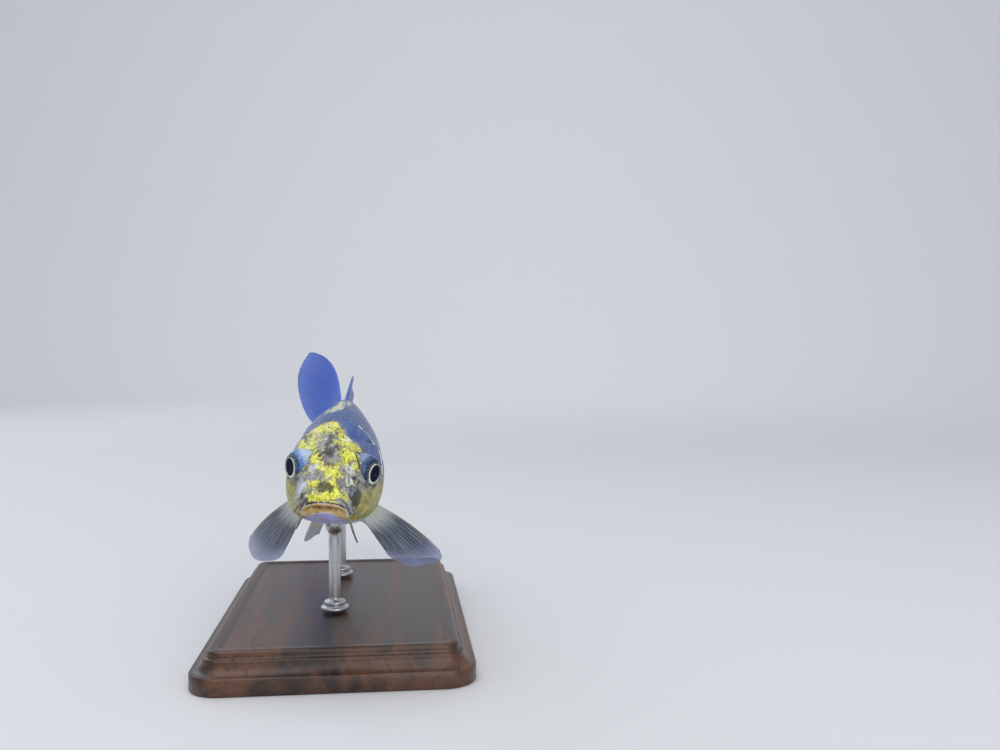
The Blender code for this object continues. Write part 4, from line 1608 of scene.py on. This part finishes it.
@dataclass
class Eye:
    """An eyeball with a flat iris set back under a clear bulging skin."""

    body: BodyForm
    side: Side
    gaze: Point  # left, back and up, for this eye
    finish: EyeFinish
    ball_share: float = 0.975
    iris_depth: float = 0.76
    rings: int = 56
    columns: int = 72

    def angles(self) -> Array:
        """Angles from the gaze, to a half turn."""
        return np.linspace(0, math.pi, self.rings)

    def ball(self, name: str, radius: Array) -> Piece:
        """A closed ball about the gaze: radius by the angle from the gaze, turned round it.

        Args:
            name: The piece's name.
            radius: The radius at each of the angles, in shares of the eye's radius.

        Returns:
            The piece, with "gaze" holding the distance out from the axis.
        """
        forward = self.body.spine.turn(self.body.eye[0], self.gaze)
        across = unit(np.cross(forward, [0, 0, 1]))
        high = np.cross(across, forward)
        turn = once_round(self.columns)[None, :]
        away = self.angles()[1:-1, None]
        reach = self.body.eye_radius * STANDARD_LENGTH
        size = radius[1:-1, None] * reach
        out = size * np.sin(away)
        points = (
            (size * np.cos(away))[..., None] * forward
            + (out * np.cos(turn))[..., None] * across
            + (out * np.sin(turn))[..., None] * high
        )
        poles = np.array([forward * radius[0] * reach, -forward * radius[-1] * reach])
        u, left, up = self.body.eye
        middle = self.body.spine.lay(np.array([u, left * self.side.value, up]))
        piece = closed_piece(name, points + middle, poles + middle, flip=True)
        distance = radius[1:-1, None] * np.sin(away)
        distance = np.where(away > math.pi / 2, 2 - distance, distance)
        snoutward = -(np.cos(turn) * across[1] + np.sin(turn) * high[1])
        gaze = beside(distance, smooth(-0.2, 0.7, snoutward), smooth(-0.25, -0.85, np.sin(turn)))
        gaze = np.concatenate([gaze.reshape(-1, 3), [[0, 0, 0], [2, 0, 0]]])
        store(piece, "gaze", list(gaze.T))
        return piece

    def build(self) -> list[Piece]:
        """Makes the ball, flattened to a plane in front of the iris, and the clear skin over it.

        The ball's radius is its share of the eye, or depth / cos(angle) where that is less.

        Returns:
            The two dressed pieces.
        """
        angle = self.angles()
        flat = self.iris_depth / np.maximum(np.cos(angle), 0.05)
        radius = -np.log(np.exp(-flat * 40) + np.exp(-self.ball_share * 40)) / 40
        word = self.side.word
        ball = self.ball(f"eyeball_{word}", radius)
        fit_piece(ball, self.finish.material(), [f"eye_{word}"])
        bulge = 1.0 + 0.035 * hump(angle, 0.0, 0.75)
        clear = self.ball(f"eye_skin_{word}", bulge)
        fit_piece(clear, CorneaFinish().material())
        return [ball, clear]


# -- Barbels


@dataclass
class Barbel:
    """A soft feeler that tapers along a bent line."""

    spine: Spine
    node: str
    radius: float  # at the root, in metres
    root: Point
    middle: Point
    tip: Point
    sides: int = 16
    rings: int = 40

    def build(self, material: Material) -> Piece:
        """Carries a circle along the curve; its radius falls to half, then rounds off at the tip.

        Args:
            material: The barbels' material.

        Returns:
            The dressed piece.
        """
        t = 1 - (1 - np.linspace(0, 1, self.rings)) ** 1.5
        path = self.spine.lay(curve_through(self.root, self.middle, self.tip, t))
        along = unit(np.gradient(path, axis=0))
        across = unit(np.cross(along, [0, 1, 0]))
        other = np.cross(along, across)
        size = self.radius * (1 - 0.5 * t) * np.sqrt(np.clip((1.002 - t) / 0.03, 0, 1))
        size = size * (1 + 0.55 * np.exp(-t / 0.06) + 0.05 * np.sin(t * 60))
        turn = once_round(self.sides)
        circle = np.cos(turn)[None, :, None] * across[:, None] + np.sin(turn)[None, :, None] * other[:, None]
        points = path[:, None] + circle * size[:, None, None]
        piece = closed_piece(f"{self.node}_skin", points, path[[0, -1]], flip=True)
        place = np.concatenate([np.repeat(t, self.sides), [0.0, 1.0]])
        store(piece, "fan", [0 * place, place, 0 * place])
        return fit_piece(piece, material, [self.node])


BARBELS = {
    "barbel_long_left": (0.00042, (0.035, 0.0345, -0.052), (0.047, 0.04, -0.077), (0.078, 0.05, -0.101)),
    "barbel_long_right": (0.0004, (0.036, -0.0345, -0.054), (0.053, -0.04, -0.072), (0.09, -0.049, -0.088)),
    "barbel_short_left": (0.0003, (0.026, 0.028, -0.034), (0.013, 0.042, -0.039), (0.019, 0.046, -0.053)),
    "barbel_short_right": (0.0003, (0.026, -0.028, -0.034), (0.013, -0.042, -0.039), (0.023, -0.047, -0.056)),
}


# -- Fins


def shortened(across: Array, cut: float, width: float) -> Array:
    """What the first rays keep of their length: 1 - cut (1 - across / width)^2, and 1 past that width."""
    return 1 - cut * np.clip(1 - across / width, 0, 1) ** 2


@dataclass
class Fin:
    """A fan of branching rays with a membrane between them, as one thin closed piece.

    Its kinds give place(across, along), the middle surface: across from the first ray to the last,
    and along from the root to the margin, each from 0 to 1.
    """

    spine: Spine
    node: str
    finish: FinFinish
    rays: int
    root_depth: float = 0.01
    root_thickness: float = 0.0008
    margin_thickness: float = 0.00018
    ridge: float = 0.00022
    flare: float = 0.0  # how much thicker the root of the first rays is
    scallop: float = 0.01
    ripple: float = 0.004
    waves: float = 1.5
    samples: int = 12  # for each ray
    steps: int = 52

    def place(self, across: Array, along: Array) -> Array:
        """u, left and up of the middle surface. Each kind of fin has its own."""
        raise NotImplementedError

    def ridges(self, across: Array, along: Array) -> Array:
        """How much a place lies on a ray, which branches in two and then in four.

        With f the distance to the nearest ray in spacings, it is a bell of ||f - d| - e|, where d
        grows from 0 to 0.25 and e from 0 to 0.12 as the ray branches. The first ray doesn't.

        Args:
            across: Places across the fin.
            along: Places along it.

        Returns:
            Numbers from 0 to 1.
        """
        spacing = across * (self.rays - 1)
        away = np.abs(spacing - np.round(spacing))
        soft = smooth(0.5, 1.0, spacing)
        first = 0.25 * smooth(0.3, 0.9, along) * soft
        second = 0.12 * smooth(0.62, 1.0, along) * soft
        width = 0.2 - 0.08 * smooth(0.2, 0.6, along) - 0.04 * smooth(0.6, 0.95, along)
        return hump(np.abs(away - first) - second, 0.0, width)

    def build(self) -> Piece:
        """Makes the fin: the middle surface plus and minus half its thickness.

        The thickness falls from root to margin and swells on the rays. The margin is cut back
        between the rays, and the sheet ripples by ripple times along squared times a sine.

        Returns:
            The dressed piece.
        """
        across = np.linspace(0, 1, (self.rays - 1) * self.samples + 1)[:, None]
        along = (1 - (1 - np.linspace(0, 1, self.steps)) ** 1.25)[None, :]
        across, along = np.broadcast_arrays(across, along)
        ray = self.ridges(across, along)
        uneven = 0.5 + 0.5 * np.sin(across * (self.rays - 1) * 2.7 + 1.3 * np.sin(across * 17))
        cut = self.scallop * ((1 - self.ridges(across, np.ones_like(along))) + 0.35 * uneven)
        middle = self.spine.lay(self.place(across, along * (1 - cut * along**6)))
        normal = unit(np.cross(np.gradient(middle, axis=0), np.gradient(middle, axis=1)))
        wave = self.ripple * along**2 * np.sin(FULL_TURN * self.waves * across + 0.8)
        middle = middle + normal * (wave * STANDARD_LENGTH)[..., None]
        thick = self.root_thickness + (self.margin_thickness - self.root_thickness) * along**0.7
        thick = thick + self.ridge * ray * (1 - 0.6 * along) + 0.0002 * np.exp(-across / 0.02) * (1 - along)
        thick = thick + self.flare * np.exp(-along / 0.32 - across / 0.1)
        half = normal * (thick / 2)[..., None]
        points = np.concatenate([(middle + half).reshape(-1, 3), (middle - half).reshape(-1, 3)])
        rows, columns = across.shape
        count = rows * columns
        front = sheet_faces(rows, columns)[:, ::-1]
        back = sheet_faces(rows, columns, start=count)
        index = np.arange(count).reshape(rows, columns)
        rim = np.concatenate([index[0], index[1:, -1], index[-1, -2::-1], index[-2:0:-1, 0]])
        after = np.roll(rim, -1)
        edge = beside(rim, rim + count, after + count, after)[:, ::-1]
        piece = make_piece(f"{self.node}_web", points, [front, back, edge])
        store(piece, "fan", [np.tile(part.ravel(), 2) for part in (across, along, ray)])
        return fit_piece(piece, self.finish.material(), [self.node])


@dataclass
class MiddleFin(Fin):
    """The long fin of the back, tall in front and low behind, or the short one under the tail stock."""

    body: BodyForm | None = None
    upwards: int = 1
    start: float = 0.465
    end: float = 0.8
    lean: float = math.radians(25)
    sunk: float = 0.02  # how deep its root lies in the body
    heights: tuple[float, ...] = (0.06, 0.08, -0.014, 0.0)
    first_rays: float = 0.08  # the share of the fin whose rays are cut shorter
    sway: float = 0.0025
    belly: float = 0.012

    def place(self, across: Array, along: Array) -> Array:
        """Rays that lean back from the line of the back or the belly.

        Their height is h0 + h1 e^-(q / 0.3)^1.4 + h2 q + h3 q^2. The edge sways to the left in
        front, and the middle bellies out to the left by a bell times along (1.6 - 0.72 along).

        Args:
            across: Places across the fin.
            along: Places along it.

        Returns:
            u, left and up of the middle surface.
        """
        u = self.start + (self.end - self.start) * across
        shortest, front, slope, curve = self.heights
        height = shortest + front * np.exp(-((across / 0.3) ** 1.4)) + slope * across + curve * across**2
        height = height * shortened(across, 0.1, self.first_rays)
        root = self.body.table.read(u)[0 if self.upwards > 0 else 1] - self.upwards * self.sunk
        reach = (height + self.sunk) * along
        sway = self.sway * along**2 * np.cos(math.pi * across)
        sway = sway + self.belly * hump(across, 0.5, 0.25) * along * (1.6 - 0.72 * along)
        up = root + self.upwards * reach * math.sin(self.lean)
        return beside(u + reach * math.cos(self.lean), sway, up)


@dataclass
class TailLobe(Fin):
    """One lobe of the tail fin: its rays fan out from the tail stock, longest near the edge."""

    upwards: int = 1
    spread: float = math.radians(33)
    edge_ray: float = 0.254
    middle_ray: float = 0.168
    rounding: float = 0.06
    bow: float = 0.15
    root_half: float = 0.054
    lag: float = 0.0  # how far its edge trails to the fish's left

    def place(self, across: Array, along: Array) -> Array:
        """Rays turned by spread times t, where t is 1 on the lobe's edge, and bowed outwards there.

        Args:
            across: Places across the fin.
            along: Places along it.

        Returns:
            u, left and up of the middle surface.
        """
        t = 1 - across
        ray = self.edge_ray - (self.edge_ray - self.middle_ray) * (1 - t) ** 4
        ray = ray + self.rounding * t * (1 - t)
        ray = ray * shortened(across, 0.07, 0.12)
        turn = self.spread * t
        bow = 4 * self.bow * ray * t**2 * along * (1 - along)
        u = 0.996 + ray * np.cos(turn) * along - bow * np.sin(turn)
        up = self.root_half * t + ray * np.sin(turn) * along + bow * np.cos(turn)
        return beside(u, self.lag * along**2 * t * (2 - t), self.upwards * (up + 0.0008))


@dataclass
class PairedFin(Fin):
    """A pectoral or pelvic fin, which fans between two directions from a short root."""

    side: Side = Side.LEFT
    root: Point = (0.257, 0.066, -0.056)
    root_run: Point = (0.0, -0.01, -0.034)
    lead: Point = (1.0, 0.0, 0.0)
    trail: Point = (1.0, 0.0, 0.0)
    lengths: Point = (0.225, 0.22, 0.105)
    bow: float = 0.038

    def place(self, across: Array, along: Array) -> Array:
        """Root plus run times q, plus the ray along the mixed direction, bowed out at the front.

        Args:
            across: Places across the fin.
            along: Places along it.

        Returns:
            u, left and up of the middle surface.
        """
        lead, trail = unit(np.array(self.lead)), unit(np.array(self.trail))
        way = unit(lead + (trail - lead) * across[..., None])
        first, middle, last = self.lengths
        ray = first * (1 - across) ** 2 + 2 * middle * across * (1 - across) + last * across**2
        ray = ray * shortened(across, 0.09, 0.18)
        reach = (ray + self.root_depth) * along - self.root_depth
        spot = np.array(self.root) + np.array(self.root_run) * across[..., None] + way * reach[..., None]
        lift = self.bow * ray * 4 * along * (1 - along) * (1 - across)
        spot = spot + beside(0, 0.6 * lift, 0.8 * lift)
        return spot * [1, self.side.value, 1]


PECTORAL_WAYS = {
    Side.LEFT: ((0.591, 0.658, -0.467), (0.553, 0.492, -0.672)),
    Side.RIGHT: ((0.738, 0.456, -0.498), (0.615, 0.262, -0.743)),
}
PELVIC_WAYS = {
    Side.LEFT: ((0.88, 0.26, -0.36), (0.92, 0.1, -0.26)),
    Side.RIGHT: ((0.731, 0.251, -0.635), (0.823, 0.151, -0.547)),
}


@dataclass
class Fins:
    """All eight fins."""

    body: BodyForm

    def build(self) -> list[Piece]:
        """Makes them, each with the colours of its kind.

        Returns:
            The dressed pieces.
        """
        spine = self.body.spine
        pale_ray, lavender, blue = (206, 208, 228), (160, 170, 214), (62, 96, 192)
        back = FinFinish(
            "dorsal_web", (100, 116, 168), (78, 104, 178), blue, (126, 148, 214), (80, 106, 186),
            0.3, 0.34, 0.3,
        )
        under = FinFinish(
            "anal_web", (216, 204, 150), (204, 202, 208), lavender, pale_ray, lavender, 0.1
        )
        tail = FinFinish(
            "tail_web", (84, 116, 192), (58, 104, 206), (46, 90, 206), (136, 168, 240), (84, 124, 220),
            0.16, 0.34, 0.4,
        )
        pectoral = FinFinish(
            "pectoral_web", (202, 208, 198), (136, 144, 156), (138, 150, 196), (184, 192, 204),
            (188, 162, 92), 0.84, 0.28, 0.56,
        )
        pelvic = FinFinish(
            "pelvic_web", (252, 240, 176), (250, 246, 222), (222, 230, 252), pale_ray, (240, 232, 196),
            0.05, 0.3, 0.2,
        )
        fins = [
            MiddleFin(spine, "dorsal_fin", back, 20, body=self.body, flare=0.0016),
            MiddleFin(
                spine, "anal_fin", under, 9, body=self.body, upwards=-1, start=0.76, end=0.835,
                lean=math.radians(52), sunk=0.01, heights=(0.112, 0.0, 0.03, -0.092), first_rays=0.15,
                sway=0.0, belly=0.0,
            ),
            TailLobe(spine, "caudal_fin_upper", tail, 20, upwards=1, ripple=0.003, ridge=0.0001),
            TailLobe(spine, "caudal_fin_lower", tail, 20, upwards=-1, ripple=0.003, ridge=0.0001, lag=0.055),
        ]
        low = {"root": (0.488, 0.031, -0.104), "root_run": (0.024, -0.014, -0.003), "ripple": 0.0008}
        low["lengths"] = (0.146, 0.139, 0.132)
        kinds = (
            ("pectoral_fin", pectoral, 16, PECTORAL_WAYS, {}),
            ("pelvic_fin", pelvic, 10, PELVIC_WAYS, low),
        )
        for side in Side:
            for name, finish, rays, ways, sizes in kinds:
                lead, trail = ways[side]
                node = f"{name}_{side.word}"
                way = {"side": side, "lead": lead, "trail": trail}
                fins.append(PairedFin(spine, node, finish, rays, **way, **sizes))
        return [fin.build() for fin in fins]


# -- Stand


@dataclass
class Stand:
    """A moulded wooden base and two turned steel rods, sized from the part's own nodes."""

    corner: float = 0.01
    rod_radius: float = 0.002
    collar_radius: float = 0.0048
    collar_height: float = 0.0035
    corner_steps: int = 12
    lathe_steps: int = 40

    def stack(self, name: str, rings: Array, middle: Array, heights: Array) -> Piece:
        """Level rings of x and y over each other, closed about their middle at the foot and the top."""
        poles = [[*middle, heights[0]], [*middle, heights[-1]]]
        return closed_piece(name, beside(rings[..., 0], rings[..., 1], heights[:, None]), poles)

    def base(self) -> Piece:
        """Carries the edge's moulding round a rectangle with round corners, and closes it flat.

        A point is the corner's middle plus (corner - inset) times the direction round the corner.

        Returns:
            The dressed base.
        """
        low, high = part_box("stand_base")
        turn = np.linspace(0, math.pi / 2, self.corner_steps)
        quarter = math.pi / 2 * np.arange(4)[:, None] + turn[None, :]
        direction = beside(np.cos(quarter), np.sin(quarter)).reshape(-1, 2)
        signs = np.repeat([[1, 1], [-1, 1], [-1, -1], [1, -1]], self.corner_steps, axis=0)
        half = np.array([high.x - low.x, high.y - low.y]) / 2
        middle = np.array([high.x + low.x, high.y + low.y]) / 2
        inset, height = self.moulding(high.z - low.z)
        rings = middle + signs * (half - self.corner) + direction * (self.corner - inset[:, None, None])
        piece = self.stack("base_moulding", rings, middle, low.z + height)
        return fit_piece(piece, WoodFinish().material(), ["stand_base"])

    def moulding(self, height: float) -> tuple[Array, Array]:
        """The edge from the foot up: a straight plinth, a hollow cove, a small step and a rounded lip.

        Args:
            height: The base's height.

        Returns:
            How far in and how high each point of the profile is.
        """
        turn = np.linspace(0, math.pi / 2, 9)
        foot = [(0.004, 0.0), (0.0006, 0.0), (0.0, 0.0006), (0.0, 0.42 * height), (0.0004, 0.46 * height)]
        cove = beside(0.0004 + 0.0036 * np.sin(turn), 0.8 * height - 0.34 * height * np.cos(turn))
        lip = beside(0.0064 - 0.0012 * np.cos(turn), height - 0.0014 + 0.0014 * np.sin(turn))
        top = [(0.0086, height), (0.0094, height - 0.0004), (0.0098, height - 0.0004)]
        profile = np.concatenate([foot, cove, [(0.0044, 0.8 * height), (0.0052, 0.82 * height)], lip, top])
        return profile[:, 0], profile[:, 1]

    def rod(self, node: str) -> Piece:
        """Turns the rod's profile about its own axis: a collar with two beads, the shaft, and a cup.

        Args:
            node: The part's node that it stands for.

        Returns:
            The dressed rod.
        """
        low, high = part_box(node)
        top = high.z - low.z
        turn = np.linspace(-math.pi / 2, math.pi / 2, 9)
        flange = beside(self.collar_radius - 0.0006 + 0.0006 * np.cos(turn), 0.0008 + 0.0008 * np.sin(turn))
        bead = beside(0.003 + 0.0007 * np.cos(turn), 0.0026 + 0.0008 * np.sin(turn))
        neck = [(self.rod_radius, self.collar_height + 0.0003)]
        cup = [
            (self.rod_radius, top - 0.0042), (0.0024, top - 0.0034), (0.0031, top - 0.002),
            (0.0034, top - 0.0006), (0.0034, top + 0.0002), (0.0024, top + 0.0004),
        ]
        shaft = [(self.rod_radius, z) for z in np.linspace(self.collar_height + 0.001, top - 0.006, 12)]
        profile = np.concatenate([flange, bead, neck, shaft, cup])
        angle = once_round(self.lathe_steps)
        middle = np.array([(low.x + high.x) / 2, (low.y + high.y) / 2])
        rings = middle + profile[:, :1, None] * beside(np.cos(angle), np.sin(angle))[None]
        piece = self.stack(f"{node}_turned", rings, middle, low.z + profile[:, 1])
        return fit_piece(piece, SteelFinish().material(), [node])

    def build(self) -> list[Piece]:
        """Makes the base and both rods."""
        return [self.base(), self.rod("stand_rod_front"), self.rod("stand_rod_rear")]


# -- Studio


@dataclass
class Studio:
    """The pale floor that curves up far behind, the soft lights and the camera."""

    floor_radius: float = 1.6
    wall_height: float = 1.6
    pale: Colour = (230, 231, 234)
    camera_place: Point = (0.01726, -0.3565, 0.10229)
    camera_turn: Pair = (-6.318, -1.73)  # to the side and up, in degrees
    lens: float = 35.46

    def floor(self) -> None:
        """A bowl: flat out to its radius, then a quarter circle up to its rim, turned once round."""
        turn = np.linspace(0, math.pi / 2, 16)
        radius = np.concatenate([[0.3, 0.8], self.floor_radius + self.wall_height * np.sin(turn)])
        height = np.concatenate([[0.0, 0.0], self.wall_height * (1 - np.cos(turn))])
        angle = once_round(64)
        wide, high = radius[:, None], height[:, None]
        points = beside(wide * np.cos(angle), wide * np.sin(angle), high).reshape(-1, 3)
        sides = sheet_faces(len(radius), 64, wrap=True)[:, ::-1]
        faces = [sides, fan_faces(len(points), np.arange(64))]
        bowl = make_piece("studio_floor", np.concatenate([points, [[0, 0, 0]]]), faces)
        nodes = Nodes("pale_floor")
        bowl.data.materials.append(nodes.finish(Base_Color=self.pale, Roughness=0.7))

    def light(
        self, name: str, place: Point, target: Point, size: float, power: float, colour: Point
    ) -> None:
        """A soft square light that faces a target.

        Args:
            name: Its name.
            place: Where it hangs.
            target: What it faces.
            size: Its side.
            power: Its power in watts.
            colour: Its colour in linear light.
        """
        lamp = bpy.data.lights.new(name, "AREA")
        lamp.size, lamp.energy, lamp.color = size, power, colour
        hung = bpy.data.objects.new(name, lamp)
        hung.location = place
        hung.rotation_euler = (Vector(target) - Vector(place)).to_track_quat("-Z", "Y").to_euler()
        bpy.context.scene.collection.objects.link(hung)

    def build(self) -> None:
        """Makes the floor, the lights, the pale surroundings and the camera."""
        self.floor()
        self.light("overhead", (-0.2, -0.3, 1.1), (0, 0, 0.06), 1.0, 4.4, (1.0, 0.99, 0.97))
        self.light("front", (0.35, -1.1, 0.55), (0, -0.05, 0.06), 0.8, 3.8, (0.97, 0.98, 1.0))
        self.light("rim", (-0.7, 0.8, 0.7), (0, 0.05, 0.07), 0.6, 1.8, (0.85, 0.92, 1.0))
        self.light("backdrop", (0.2, 1.3, 1.5), (0.4, 2.9, 0.7), 1.2, 9.0, (0.96, 0.98, 1.0))
        world = bpy.data.worlds.new("pale_room")
        world.use_nodes = True
        world.node_tree.nodes["Background"].inputs["Color"].default_value = (0.92, 0.95, 1.0, 1)
        world.node_tree.nodes["Background"].inputs["Strength"].default_value = 0.55
        bpy.context.scene.world = world
        lens = bpy.data.cameras.new("camera")
        lens.lens = self.lens
        lens.clip_start = 0.01
        camera = bpy.data.objects.new("camera", lens)
        camera.location = self.camera_place
        side, rise = (math.radians(turn) for turn in self.camera_turn)
        camera.rotation_euler = (math.pi / 2 + rise, 0, side)
        bpy.context.scene.collection.objects.link(camera)
        bpy.context.scene.camera = camera
        bpy.context.scene.view_settings.view_transform = "Standard"


# -- All of it


def main() -> None:
    """Builds the studio, then the fish from skin to fins, then the stand."""
    logging.basicConfig(level=logging.INFO, format="%(name)s: %(message)s")
    Studio().build()
    body = BodyForm(Spine())
    cover = GillCover()
    skin = Skin(body, cover)
    skin.build()
    for side in Side:
        ScaleCoat(body, cover, skin).build(side)
    # Painted light: the eyes take a lit and a shaded copy of one eye's colours; the fish's right eye is
    # painted lighter and with a stronger painted highlight.
    lit_eye_finish = EyeFinish("eyeball_light", (158, 190, 236), (84, 122, 188))
    shaded_eye_finish = EyeFinish("eyeball_dark", (100, 130, 176), (44, 64, 100), highlight_strength=0.35)
    Eye(body, Side.RIGHT, (-0.83, -0.52, -0.1), lit_eye_finish).build()
    Eye(body, Side.LEFT, (0.85, -0.5, -0.12), shaded_eye_finish).build()
    barbel_skin = BarbelFinish().material()
    for node, (radius, root, middle, tip) in BARBELS.items():
        Barbel(body.spine, node, radius, root, middle, tip).build(barbel_skin)
    Fins(body).build()
    Stand().build()


if __name__ == "__main__":
    main()
